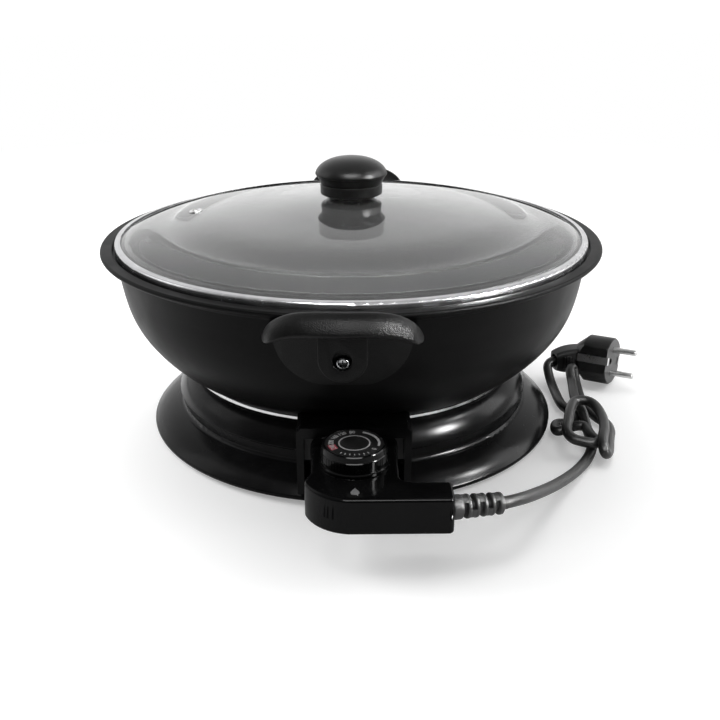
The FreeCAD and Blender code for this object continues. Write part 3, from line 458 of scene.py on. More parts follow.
PAN_COAT = NonStick("pan_coat", (0.003, 0.003, 0.0031), (0.005, 0.005, 0.0051), (0.36, 0.46), 0.06)
BRIGHT_RING = Metal("bright_ring", (0.66, 0.66, 0.67), (0.86, 0.86, 0.87), (0.12, 0.26), 1600.0)
SHEATH = Metal("sheath_steel", (0.13, 0.125, 0.12), (0.26, 0.25, 0.24), (0.35, 0.55), 700.0)
PIN_PLATING = Metal("pin_plating", (0.5, 0.5, 0.5), (0.7, 0.7, 0.695), (0.24, 0.38), 1500.0, None)
BLACK_RESIN = Moulding("black_resin", (0.010, 0.010, 0.010), (0.018, 0.018, 0.018), (0.32, 0.5))
SPRING_STEEL = Metal("spring_steel", (0.42, 0.41, 0.39), (0.62, 0.61, 0.6), (0.2, 0.35), 1200.0, None)
SKIRT_GLOSS = PolishedPlastic("skirt_gloss", (0.004, 0.004, 0.0042), (0.007, 0.007, 0.0074), (0.17, 0.24), 0.1)
SHIELD_SHEET = Metal("shield_sheet", (0.55, 0.55, 0.56), (0.74, 0.74, 0.75), (0.2, 0.36), 500.0)
PLATE_PAINT = Moulding("plate_paint", (0.011, 0.011, 0.011), (0.02, 0.02, 0.02), (0.42, 0.6), 1400.0, 0.00005)
FOOT_RUBBER = Moulding("foot_rubber", (0.016, 0.016, 0.016), (0.03, 0.03, 0.03), (0.6, 0.8), 3000.0, 0.00005)
ZINC = Metal("zinc_plate", (0.34, 0.345, 0.35), (0.5, 0.51, 0.52), (0.16, 0.32), 1500.0, None)
PHENOLIC = Moulding("handle_phenolic", (0.003, 0.003, 0.003), (0.007, 0.007, 0.007), (0.28, 0.38), 1500.0, 0.00018,
                    0.12)
LID_GLASS = ClearGlass("lid_glass", (0.93, 0.94, 0.94), (0.97, 0.975, 0.975), clear=0.965)
BAND_STEEL = Metal("band_steel", (0.5, 0.5, 0.51), (0.7, 0.7, 0.71), (0.18, 0.3), 1800.0)
KNOB_PHENOLIC = Moulding("knob_phenolic", (0.007, 0.007, 0.007), (0.012, 0.012, 0.012), (0.28, 0.36), 2600.0, 0.00003,
                         0.26)
BRASS = Metal("brass_insert", (0.5, 0.36, 0.14), (0.72, 0.55, 0.26), (0.22, 0.36), 1400.0)
WASHER = Metal("washer_steel", (0.6, 0.6, 0.6), (0.84, 0.84, 0.84), (0.14, 0.28), 1500.0)
SILICONE = Moulding("silicone", (0.3, 0.3, 0.29), (0.42, 0.42, 0.41), (0.4, 0.6))
CONTACT_BRASS = Metal("contact_brass", (0.52, 0.4, 0.18), (0.74, 0.6, 0.32), (0.2, 0.34), 1400.0, None)
CERAMIC = Moulding("white_ceramic", (0.72, 0.7, 0.66), (0.84, 0.83, 0.8), (0.3, 0.5), 1800.0)
LAMP_GLASS = ClearGlass("lamp_glass", (0.95, 0.8, 0.7), (1.0, 0.88, 0.8), index=1.46)
CLEAR_LENS = Moulding("clear_lens", (0.15, 0.15, 0.153), (0.24, 0.24, 0.243), (0.12, 0.22), 2500.0, 0.00002, 0.5, 0.5)
SHELL_GLOSS = PolishedPlastic("shell_gloss", (0.003, 0.003, 0.0032), (0.005, 0.005, 0.0052), (0.08, 0.14), 0.08)
DIAL_GLOSS = PolishedPlastic("dial_gloss", (0.0022, 0.0022, 0.0023), (0.0042, 0.0042, 0.0043), (0.08, 0.15), 0.12)
DIAL_FACE = Moulding("dial_face", (0.009, 0.009, 0.009), (0.015, 0.015, 0.015), (0.26, 0.38), 3500.0, 0.00002)
WHITE_INK = Ink("white_ink", (0.42, 0.42, 0.42), (0.58, 0.58, 0.58))
RED_INK = Ink("red_ink", (0.38, 0.035, 0.06), (0.52, 0.06, 0.09))
CORD_SHEATH = CordRubber("cord_sheath", (0.007, 0.007, 0.007), (0.014, 0.0138, 0.0137), (0.36, 0.48))
RELIEF_RUBBER = Moulding("relief_rubber", (0.014, 0.014, 0.014), (0.026, 0.026, 0.026), (0.42, 0.54), 2600.0)
PLUG_RUBBER = Moulding("plug_rubber", (0.012, 0.012, 0.012), (0.02, 0.02, 0.02), (0.34, 0.46), 2200.0, 0.00006, 0.2)
PLUG_FACE = Moulding("plug_face", (0.05, 0.05, 0.05), (0.08, 0.08, 0.08), (0.4, 0.55), 2200.0, 0.00006)

NODE_FINISHES: dict[str, Finish] = {
    "wok_pan": PAN_COAT, "trim_ring": BRIGHT_RING, "heating_element": SHEATH, "terminal_pins": PIN_PLATING,
    "probe_guide": BRIGHT_RING, "terminal_block": BLACK_RESIN, "earth_spring": SPRING_STEEL,
    "base_skirt": SKIRT_GLOSS, "heat_shield": SHIELD_SHEET, "bottom_plate": PLATE_PAINT, "feet": FOOT_RUBBER,
    "skirt_screws": ZINC, "plate_screws": ZINC, "socket_shroud": SKIRT_GLOSS, "shroud_screws": ZINC,
    "front_handle": PHENOLIC, "rear_handle": PHENOLIC, "handle_screws": ZINC, "lid_glass": LID_GLASS,
    "lid_band": BAND_STEEL, "steam_vent": WASHER, "knob_cap": KNOB_PHENOLIC, "knob_collar": KNOB_PHENOLIC,
    "knob_insert": BRASS, "knob_screw": ZINC, "knob_washers": WASHER, "knob_gaskets": SILICONE,
    "control_upper_shell": SHELL_GLOSS, "control_lower_shell": SHELL_GLOSS, "shell_screws": ZINC,
    "contact_housing": BLACK_RESIN, "contact_sleeves": CONTACT_BRASS, "probe_tube": PIN_PLATING,
    "thermostat_frame": SPRING_STEEL, "dial_bush": BRASS, "ceramic_block": CERAMIC,
    "switch_blades": CONTACT_BRASS, "pilot_lamp": LAMP_GLASS, "pilot_lens": CLEAR_LENS,
    "strain_relief": RELIEF_RUBBER, "dial_knob": DIAL_GLOSS, "dial_plate": DIAL_FACE,
    "dial_spindle": SPRING_STEEL, "cord_lead": CORD_SHEATH, "cord_knot": CORD_SHEATH, "cord_tail": CORD_SHEATH,
    "plug_body": PLUG_RUBBER, "plug_prongs": PIN_PLATING, "plug_earth_clips": PIN_PLATING,
}


# Modelling by hand

def start_clean() -> None:
    """Leaves nothing selected and nothing in edit mode."""
    if bpy.context.object is not None and bpy.context.object.mode != "OBJECT":
        bpy.ops.object.mode_set(mode="OBJECT")
    bpy.ops.object.select_all(action="DESELECT")


def take(obj: bpy.types.Object) -> bpy.types.Object:
    """Makes one object the only one selected, and active.

    Args:
        obj: the object.

    Returns:
        The same object.
    """
    start_clean()
    obj.select_set(True)
    bpy.context.view_layer.objects.active = obj
    return obj


def new_object(name: str, data: bpy.types.ID) -> bpy.types.Object:
    """Puts a new object into the scene.

    Args:
        name: what to call it.
        data: its mesh, curve, lamp or camera.

    Returns:
        The object.
    """
    obj = bpy.data.objects.new(name, data)
    bpy.context.scene.collection.objects.link(obj)
    return obj


def added(name: str) -> bpy.types.Object:
    """Names the primitive that an operator has just added.

    Args:
        name: what to call it.

    Returns:
        The primitive.
    """
    obj = bpy.context.object
    obj.name = obj.data.name = name
    return obj


def pick(obj: bpy.types.Object, wanted: Callable[[Vector], bool]) -> None:
    """Opens an object in edit mode with some of its points selected.

    Args:
        obj: the object.
        wanted: says yes to the points to select, by their place.
    """
    take(obj)
    bpy.ops.object.mode_set(mode="EDIT")
    bpy.ops.mesh.select_mode(type="VERT")
    bpy.ops.mesh.select_all(action="DESELECT")
    bpy.ops.object.mode_set(mode="OBJECT")
    for vertex in obj.data.vertices:
        vertex.select = wanted(vertex.co)
    bpy.ops.object.mode_set(mode="EDIT")


def bisect(obj: bpy.types.Object, cuts: Iterable[tuple[Sequence[float], Sequence[float]]], **how: bool) -> None:
    """Cuts a whole mesh with planes, one after the other.

    Args:
        obj: the object.
        cuts: a point and a normal for each plane.
        how: the operator's own options, the same for every plane.
    """
    take(obj)
    bpy.ops.object.mode_set(mode="EDIT")
    for place, normal in cuts:
        bpy.ops.mesh.select_all(action="SELECT")
        bpy.ops.mesh.bisect(plane_co=place, plane_no=normal, **how)
    bpy.ops.object.mode_set(mode="OBJECT")


def face_out(obj: bpy.types.Object) -> None:
    """Turns every face of an object outwards.

    Args:
        obj: the object.
    """
    take(obj)
    bpy.ops.object.mode_set(mode="EDIT")
    bpy.ops.mesh.select_all(action="SELECT")
    bpy.ops.mesh.normals_make_consistent(inside=False)
    bpy.ops.object.mode_set(mode="OBJECT")


def apply_all(obj: bpy.types.Object) -> None:
    """Applies an object's modifiers in order.

    Args:
        obj: the object.
    """
    take(obj)
    for modifier in list(obj.modifiers):
        bpy.ops.object.modifier_apply(modifier=modifier.name)


def settle(obj: bpy.types.Object, place: Matrix | None = None) -> None:
    """Applies an object's place to its mesh.

    Args:
        obj: the object.
        place: one more place that its mesh is moved by, if it is given.
    """
    take(obj)
    bpy.ops.object.transform_apply(location=True, rotation=True, scale=True)
    if place is not None:
        obj.data.transform(place)
        obj.data.update()


def dress(obj: bpy.types.Object, finish: Finish) -> None:
    """Gives a whole object one finish."""
    obj.data.materials.clear()
    obj.data.materials.append(finish.material())


def smooth(obj: bpy.types.Object, degrees: float = 32.0) -> None:
    """Smooth shading that keeps edges sharper than an angle."""
    take(obj)
    bpy.ops.object.shade_smooth_by_angle(angle=math.radians(degrees))


def merged_copy(node: str, name: str) -> bpy.types.Object:
    """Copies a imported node's mesh and merges its loose triangles into whole faces.

    Args:
        node: the node.
        name: what to call the copy.

    Returns:
        The copy.
    """
    piece = new_object(name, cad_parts[node].data.copy())
    take(piece)
    bpy.ops.object.mode_set(mode="EDIT")
    bpy.ops.mesh.select_all(action="SELECT")
    bpy.ops.mesh.remove_doubles(threshold=WELD)
    bpy.ops.mesh.dissolve_limited(angle_limit=FLAT)
    bpy.ops.object.mode_set(mode="OBJECT")
    return piece


def soften(obj: bpy.types.Object, width: float, segments: int = 2, degrees: float = 45.0) -> None:
    """Rounds an object's sharp edges.

    Args:
        obj: the object.
        width: metres from the edge to where the rounding starts.
        segments: facets across it.
        degrees: only edges sharper than this are rounded.
    """
    edge = obj.modifiers.new("edge", "BEVEL")
    edge.width, edge.segments, edge.limit_method, edge.angle_limit = width, segments, "ANGLE", math.radians(degrees)
    edge.harden_normals = False
    apply_all(obj)


def flatten_shading(obj: bpy.types.Object) -> None:
    """Lets the large faces of a softened piece shade flat, with the turn kept in its narrow edges.

    Args:
        obj: the piece.
    """
    normals = obj.modifiers.new("normals", "WEIGHTED_NORMAL")
    normals.mode, normals.weight, normals.keep_sharp = "FACE_AREA", 100, True
    apply_all(obj)


def join(pieces: Sequence[bpy.types.Object], name: str) -> bpy.types.Object:
    """Joins pieces into the first of them.

    Args:
        pieces: the pieces.
        name: what to call the whole.

    Returns:
        The whole.
    """
    start_clean()
    for piece in pieces:
        piece.select_set(True)
    bpy.context.view_layer.objects.active = pieces[0]
    bpy.ops.object.join()
    whole = bpy.context.object
    whole.name = whole.data.name = name
    return whole


def report(obj: bpy.types.Object, body: Body, *nodes: str) -> bpy.types.Object:
    """Puts a finished piece on its body.

    Args:
        obj: the piece.
        body: the body that carries it.
        nodes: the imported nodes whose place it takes.

    Returns:
        The same piece.
    """
    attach(obj, body.value)
    if nodes:
        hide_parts(*nodes)
    LOG.info("piece %s on %s", obj.name, body.value)
    return obj


# Camera and studio

@dataclass
class Viewpoint:
    """The camera: where it stands and how it is turned."""

    place: Point = (-0.0031, -0.6495, 0.309)
    turn: float = -0.8                  # degrees from straight along +Y, positive towards -X
    down: float = 22.62                 # degrees below the horizon
    roll: float = 0.15                  # degrees, clockwise
    lens: float = 45.0                  # millimetres, as the sensor
    sensor: float = 36.0

    def build(self) -> bpy.types.Object:
        """Makes the camera and gives it to the scene.

        Returns:
            The camera.
        """
        data = bpy.data.cameras.new("camera")
        data.lens, data.sensor_width = self.lens, self.sensor
        camera = new_object("camera", data)
        sight = (Matrix.Rotation(math.radians(self.turn), 4, "Z")
                 @ Matrix.Rotation(math.radians(90 - self.down), 4, "X")
                 @ Matrix.Rotation(math.radians(-self.roll), 4, "Z"))
        camera.matrix_world = Matrix.Translation(self.place) @ sight
        bpy.context.scene.camera = camera
        return camera


@dataclass(frozen=True)
class Softbox:
    """One area lamp that looks at a point."""

    name: str
    place: Point
    aim: Point
    width: float
    height: float
    watts: float
    mirrored: bool = True               # whether shiny surfaces show it
    lights: bool = True                 # whether it lights the rest
    beam: float = 180.0                 # degrees

    def build(self) -> bpy.types.Object:
        """Adds the lamp.

        Returns:
            The lamp.
        """
        data = bpy.data.lights.new(self.name, "AREA")
        data.shape, data.size, data.size_y, data.energy = "RECTANGLE", self.width, self.height, self.watts
        data.spread = math.radians(self.beam)
        lamp = new_object(self.name, data)
        away = Vector(self.place) - Vector(self.aim)
        lamp.matrix_world = Matrix.Translation(self.place) @ away.to_track_quat("Z", "Y").to_matrix().to_4x4()
        lamp.visible_glossy = lamp.visible_transmission = self.mirrored
        lamp.visible_diffuse = self.lights
        return lamp


@dataclass
class Studio:
    """A white table, a surround that is bright behind and above and dim in front, and the lamps."""

    floor_half: float = 6.0             # half the table's width
    floor_drop: float = 0.0004          # how far the table lies below the feet
    floor_colour: float = 0.8
    floor_glow: float = 0.3             # what the open table needs to show as white
    mottle: float = 0.01                # how much its colour varies
    dim_side: float = 0.38              # painted reflection light: how bright shiny surfaces see the table's glow in front and to the left
    bright_side: float = 1.6            # and behind and to the right, the brighter side of that painted reflection light
    side_way: tuple[float, float] = (0.8, 0.6)      # the way from the dim side to the bright one
    dim_range: tuple[float, float] = (-0.2, 0.3)    # metres along it where the change starts and ends
    painted_shade_reach: float = 0.12          # metres within which painted shade darkens the table's glow that shiny surfaces mirror, near the object
    glow_range: tuple[float, float] = (0.5, 1.4)    # metres from the object where table turns into backdrop
    front_light: float = 0.10           # how bright the surround is low down behind the camera
    back_light: float = 1.15            # and high up behind the object
    light_rise: float = 0.8             # how much height counts against depth between the two
    light_range: tuple[float, float] = (-0.35, 0.75)
    overhead_light: float = 0.5         # share of it that is left overhead
    overhead_range: tuple[float, float] = (0.15, 0.75)
    lamps: tuple[Softbox, ...] = (
        Softbox("softbox_top", (0.0, 0.35, 1.5), (0, 0, 0.05), 1.6, 1.1, 14.0, False),
        Softbox("softbox_left", (-1.25, 0.1, 0.75), (0, 0, 0.05), 0.6, 0.9, 1.4),
        Softbox("softbox_right", (1.3, 0.25, 0.7), (0, 0, 0.05), 0.6, 0.9, 7.0),
        Softbox("fill_left", (-1.3, 0.42, 0.75), (0, 0, 0.0), 0.8, 0.8, 17.0, False),
        Softbox("glint_key", (0.97, -0.58, 0.6), (0.03, -0.17, 0.1), 0.26, 0.26, 1.2, True, False, 24.0),
        Softbox("glint_foot", (0.99, -0.2, 0.93), (0.075, -0.135, 0.01), 0.26, 0.26, 0.2, True, False, 14.0),
        Softbox("glint_edges", (0.0, -0.95, 1.1), (0, -0.2, 0.05), 0.9, 0.5, 22.0, True, False),
    )

    def build(self) -> None:
        """Adds the floor, the surround and the lamps."""
        self.floor()
        self.surround()
        for lamp in self.lamps:
            lamp.build()

    def floor(self) -> None:
        """A wide plane whose open part shows white, with the object's shadow kept. To shiny surfaces its glow is a
        painted reflection light, brighter behind and to the right, with painted shade near the object.
        """
        start_clean()
        bpy.ops.mesh.primitive_plane_add(size=2 * self.floor_half, location=(0, 0, -self.floor_drop))
        plane = added("table_top")
        settle(plane)
        graph = Graph("table_white")
        place = graph.place()
        parts = graph.add("ShaderNodeSeparateXYZ", {0: place}).outputs
        square = graph.maths("ADD", graph.maths("MULTIPLY", parts[0], parts[0]),
                             graph.maths("MULTIPLY", parts[1], parts[1]))
        far = graph.spread(graph.maths("SQRT", square), 0.0, 1.0, *self.glow_range)
        mottle = graph.tint(graph.noise(place, 3.0, 2.0), (self.floor_colour - self.mottle,) * 3,
                            (self.floor_colour + self.mottle,) * 3)
        fading = graph.add("ShaderNodeMix", {"Factor": far, 6: mottle, 7: (0.0, 0.0, 0.0, 1.0)}, data_type="RGBA")
        graph.finish(Base_Color=fading.outputs[2], Roughness=0.6, Specular_IOR_Level=0.0)
        path = graph.add("ShaderNodeLightPath")
        near = graph.maths("SUBTRACT", 1.0, far)
        side = graph.maths("ADD", graph.maths("MULTIPLY", parts[0], self.side_way[0]),
                           graph.maths("MULTIPLY", parts[1], self.side_way[1]))
        # painted reflection light: the glow that shiny surfaces see is dimmer in front and to the left, brighter behind
        # and to the right
        painted_mirror_light = graph.maths("MULTIPLY", path.outputs["Is Glossy Ray"],
                            graph.spread(side, self.dim_side, self.bright_side, *self.dim_range))
        # painted shade: ambient occlusion darkens the mirrored glow of the table close to the object
        painted_contact_shade = graph.add("ShaderNodeAmbientOcclusion", {"Distance": self.painted_shade_reach}, samples=4).outputs["AO"]
        painted_mirror_light = graph.maths("MULTIPLY", painted_mirror_light, painted_contact_shade)
        mirrored = graph.maths("MULTIPLY", near, graph.maths("MAXIMUM", painted_mirror_light, path.outputs["Is Transmission Ray"]))
        seen = graph.maths("MAXIMUM", path.outputs["Is Camera Ray"], mirrored)
        needed = graph.maths("ADD", graph.maths("MULTIPLY", far, 1.0 - self.floor_glow), self.floor_glow)
        glow = graph.add("ShaderNodeEmission", {"Color": (1.0, 1.0, 1.0),
                                                "Strength": graph.maths("MULTIPLY", seen, needed)})
        joined = graph.add("ShaderNodeAddShader", {0: graph.shader.outputs[0], 1: glow.outputs[0]})
        graph.tree.links.new(joined.outputs[0], graph.output.inputs["Surface"])
        plane.data.materials.append(graph.material)

    def surround(self) -> None:
        """A world that is white to the camera, and shades from dim in front to bright behind for the rest."""
        world = bpy.data.worlds.new("surround")
        bpy.context.scene.world = world
        world.use_nodes = True
        nodes = Nodes(world.node_tree)
        way = nodes.add("ShaderNodeTexCoord").outputs["Generated"]
        _, back, up = nodes.add("ShaderNodeSeparateXYZ", {0: way}).outputs
        rising = nodes.maths("ADD", nodes.maths("MULTIPLY", up, self.light_rise), back)
        shade = nodes.spread(rising, self.front_light, self.back_light, *self.light_range)
        fade = nodes.spread(up, 1.0, self.overhead_light, *self.overhead_range)
        camera = nodes.add("ShaderNodeLightPath").outputs["Is Camera Ray"]
        strength = nodes.maths("MAXIMUM", nodes.maths("MULTIPLY", shade, fade), camera)
        sky = nodes.add("ShaderNodeBackground", {"Color": (1.0, 1.0, 1.0), "Strength": strength})
        nodes.add("ShaderNodeOutputWorld", {"Surface": sky.outputs[0]})


# Cord

@dataclass
class MainsCord:
    """The rubber cord: from the thermostat's sleeve, through a loose knot, to the plug."""

    diameter: float = 7.4 * MM
    exit: Point = (86.41, -203.74, 33.49)
    lead: tuple[Point, ...] = (
        (96.8, -198.0, 32.2), (112.7, -176.6, 23.8), (128.3, -152.6, 14.4), (144.6, -128, 7.2), (156.6, -110, 4.2),
        (164.6, -96.5, 3.8), (170, -84, 3.8))
    knot: tuple[Point, ...] = (
        (171.9, -74.7, 4), (173.2, -61.1, 4), (174.2, -47, 5.6), (173.7, -36, 11.3), (172.2, -17.6, 11.8),
        (176.8, 9.2, 13), (176.9, 17.3, 16.5), (178.1, 24.7, 19.3), (182.7, 31.2, 17.2), (182.4, 25.2, 13),
        (182.3, 17, 8.5), (181.5, 3, 6), (180.9, -10.8, 4.2), (185.1, -35.6, 4.2), (190.4, -44.5, 4.4),
        (190.4, -58.7, 4.6), (184.9, -73.4, 5), (180.7, -89, 5.2), (176.2, -99.5, 7), (173.5, -102.5, 10.8),
        (173.2, -97, 14.3), (175.6, -88, 15.6), (180, -76.5, 16.5), (182.6, -57.8, 17.5), (180.9, -41.6, 18.8),
        (174.6, -36.1, 19.5), (166.6, -36.6, 18.8), (160.5, -51.2, 17.6), (156.5, -64.5, 16), (152.3, -76.4, 14),
        (154.5, -85.5, 12.5), (160.8, -89, 12), (167.9, -92.1, 11.8), (173.7, -86.8, 10), (169.6, -79.2, 11.3),
        (169.5, -64.9, 11.6), (164.7, -63, 11.6), (158, -58.3, 7), (149.2, -60.3, 4.4), (151.5, -44.8, 4.2),
        (160, -45.5, 4.2), (168.5, -42, 4.2), (170, -30, 4.2), (166.3, -20.5, 4.3))
    tail: tuple[Point, ...] = (
        (163.4, -12, 4.4), (164.2, 14, 4.1), (163.6, 25, 6.4), (162.6, 33, 11.8), (162.4, 38.5, 15.8),
        (166.3, 42.8, 18.5))
    plug_neck: Point = (172.9, 44.2, 18.7)
    length: float = 0.73

    def build(self) -> bpy.types.Object:
        """Makes the cord as one smooth curve along its route.

        Returns:
            The cord.
        """
        points = [self.exit, *self.lead, *self.knot, *self.tail, self.plug_neck]
        curve = bpy.data.curves.new("mains_cord", "CURVE")
        curve.dimensions = "3D"
        spline = curve.splines.new("NURBS")
        spline.points.add(len(points) - 1)
        for knot, (x, y, z) in zip(spline.points, points):
            knot.co = (x * MM, y * MM, z * MM, 1.0)
        spline.order_u, spline.use_endpoint_u = 3, True
        spline.resolution_u = 10
        curve.bevel_depth, curve.bevel_resolution = self.diameter / 2, 6
        curve.use_fill_caps = True
        cord = new_object("mains_cord", curve)
        dress(cord, CORD_SHEATH)
        report(cord, Body.CONTROL, "cord_lead", "cord_knot", "cord_tail")
        return cord


# Handles

@dataclass
class HoodedHandle:
    """A drooping hooded grip with round ends, over its backing plate and raised pad."""

    node: str
    turn: float                         # degrees about the upright axis, from facing -Y
    half: float = 44.6                  # half the grip's length; millimetres, as the sizes below
    shift: float = 0.9                  # how far the grip sits off its screw
    rim: float = 180.9                  # radius of the pan's rim, which the grip follows
    wall: float = 171.0                 # radius of its wall
    plate_top: float = 129.5            # height where the plate is cut off, inside the grip
    plate_out: float = 180.0            # how far out it is kept
    plate_edge: float = 0.7
    pad: tuple[float, float, float, float] = (0.3, 113.9, 14.2, 11.0)   # across, height, radius, straight part
    pad_out: tuple[float, float] = (179.5, 181.4)
    pad_edge: float = 0.8
    hole: float = 5.6                   # radius of the hole for the screw
    hole_drop: float = 0.9              # how far it lies below the pad's own middle
    cutter: float = 20.0                # length of the tool that makes it
    stations: tuple[float, ...] = (0.12, 0.35, 0.55, 0.68, 0.78, 0.86, 0.92, 0.965, 1.0)
    sides: int = 16

    def section(self, across: float) -> list[tuple[float, float]]:
        """One slice of the hood.

        Args:
            across: place along the grip, from -1 to 1.

        Returns:
            Points (out, height) in millimetres, one for each side of the tube.
        """
        t = abs(across)
        drop, draw = 15 * t ** 3.7, 14 * t ** 2
        fade = max(0.0, (t - 0.5) / 0.5)
        fade = fade * fade * (3 - 2 * fade)
        x = across * self.half + self.shift
        back, wall = math.sqrt(self.rim ** 2 - x * x), math.sqrt(self.wall ** 2 - x * x)
        foot = (back + 0.3 + 6 * fade, 141.0 - 0.25 * drop - 7.5 * fade)
        ridge, brow = (205.5 - 0.9 * draw, 151.9 - drop), (211 - 0.95 * draw, 149.8 - drop)
        nose, lip = (216.5 - draw, 141.9 - 0.8 * drop), (213.4 - draw, 138.3 - 0.75 * drop)
        hollow, heel = (199 - 0.9 * draw, 143 - 0.95 * drop), (187 - 0.6 * draw, 137.5 - 0.7 * drop)
        under = (wall + 0.3, 128.5 - 0.2 * drop)

        def between(a: tuple[float, float], b: tuple[float, float], part: float,
                    lift: float = 0.0) -> tuple[float, float]:
            """A point on the way from a to b, lifted."""
            return a[0] + (b[0] - a[0]) * part, a[1] + (b[1] - a[1]) * part + lift

        ring = [under, (back + 0.2 + 4 * fade, 136.5 - 0.5 * drop - 3 * fade), foot, between(foot, ridge, 0.35, -2.2),
                between(foot, ridge, 0.75, -2.0), ridge, between(ridge, brow, 0.6, 0.4), brow,
                between(brow, nose, 0.45, 1.4), nose, (nose[0] - 0.5, nose[1] - 1.3), lip,
                between(lip, hollow, 0.5, 0.6), hollow, heel, between(heel, under, 0.5, 1.0)]
        closing = 1.0 if t < 0.84 else math.sqrt(max(0.03, 1 - ((t - 0.84) / 0.16) ** 2))
        middle = (196.5 - draw * 0.55, 143.5 - 0.86 * drop)
        return [(middle[0] + (a - middle[0]) * closing, middle[1] + (b - middle[1]) * closing) for a, b in ring]

    def hood(self) -> bpy.types.Object:
        """Shapes a tube along the grip into the hood and rounds it off.

        Returns:
            The hood.
        """
        start_clean()
        bpy.ops.mesh.primitive_cylinder_add(vertices=self.sides, radius=1.0, depth=2.0, rotation=(0, math.pi / 2, 0))
        hood = added(self.node + "_grip")
        settle(hood)
        places = sorted({side * s for s in self.stations[:-1] for side in (-1, 1)} | {0.0})
        bisect(hood, (((place, 0, 0), (1, 0, 0)) for place in places))
        for vertex in hood.data.vertices:
            across = vertex.co.x
            slot = round(math.atan2(-vertex.co.y, -vertex.co.z) / (2 * math.pi) * self.sides) % self.sides
            out, height = self.section(across)[(slot + 1) % self.sides]
            vertex.co = ((across * self.half + self.shift) * MM, -out * MM, height * MM)
        face_out(hood)
        rounding = hood.modifiers.new("rounding", "SUBSURF")
        rounding.levels = rounding.render_levels = 3
        apply_all(hood)
        settle(hood, Matrix.Rotation(math.radians(self.turn), 4, "Z"))
        return hood

    def plate(self) -> bpy.types.Object:
        """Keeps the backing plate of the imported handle, without its grip and pad, and softens its edges.

        Returns:
            The plate.
        """
        plate = merged_copy(self.node, self.node + "_plate")
        out = Matrix.Rotation(math.radians(self.turn), 3, "Z") @ Vector((0, -1, 0))
        cuts = (((0, 0, self.plate_top * MM), (0, 0, 1)), (tuple(out * self.plate_out * MM), tuple(out)))
        bisect(plate, cuts, clear_outer=True, use_fill=True)
        soften(plate, self.plate_edge * MM, 3, 50.0)
        return plate

    def raised_pad(self) -> bpy.types.Object:
        """Makes the U-shaped pad round the screw's hole, with its upper end inside the grip.

        Returns:
            The pad.
        """
        x, z, radius, straight = self.pad
        depth, middle = self.pad_out[1] - self.pad_out[0], sum(self.pad_out) / 2
        start_clean()
        bpy.ops.mesh.primitive_cylinder_add(vertices=64, radius=radius * MM, depth=depth * MM,
                                            location=(x * MM, -middle * MM, z * MM), rotation=(math.pi / 2, 0, 0))
        pad = added(self.node + "_pad")
        settle(pad)
        pick(pad, lambda place: place.z > (z + 0.1) * MM)
        bpy.ops.transform.translate(value=(0, 0, straight * MM))
        bpy.ops.object.mode_set(mode="OBJECT")
        start_clean()
        bpy.ops.mesh.primitive_cylinder_add(vertices=48, radius=self.hole * MM, depth=self.cutter * MM,
                                            location=(0, -middle * MM, (z - self.hole_drop) * MM),
                                            rotation=(math.pi / 2, 0, 0))
        cutter = added("pad_cutter")
        take(pad)
        cut = pad.modifiers.new("hole", "BOOLEAN")
        cut.object, cut.operation = cutter, "DIFFERENCE"
        apply_all(pad)
        bpy.data.objects.remove(cutter)
        soften(pad, self.pad_edge * MM, 3, 50.0)
        settle(pad, Matrix.Rotation(math.radians(self.turn), 4, "Z"))
        return pad

    def build(self) -> bpy.types.Object:
        """Makes the handle and puts it in place of its node.

        Returns:
            The handle.
        """
        hood = join((self.hood(), self.plate(), self.raised_pad()), self.node + "_grip")
        smooth(hood, 40.0)
        dress(hood, PHENOLIC)
        report(hood, Body.COOKER, self.node)
        return hood


# Dial

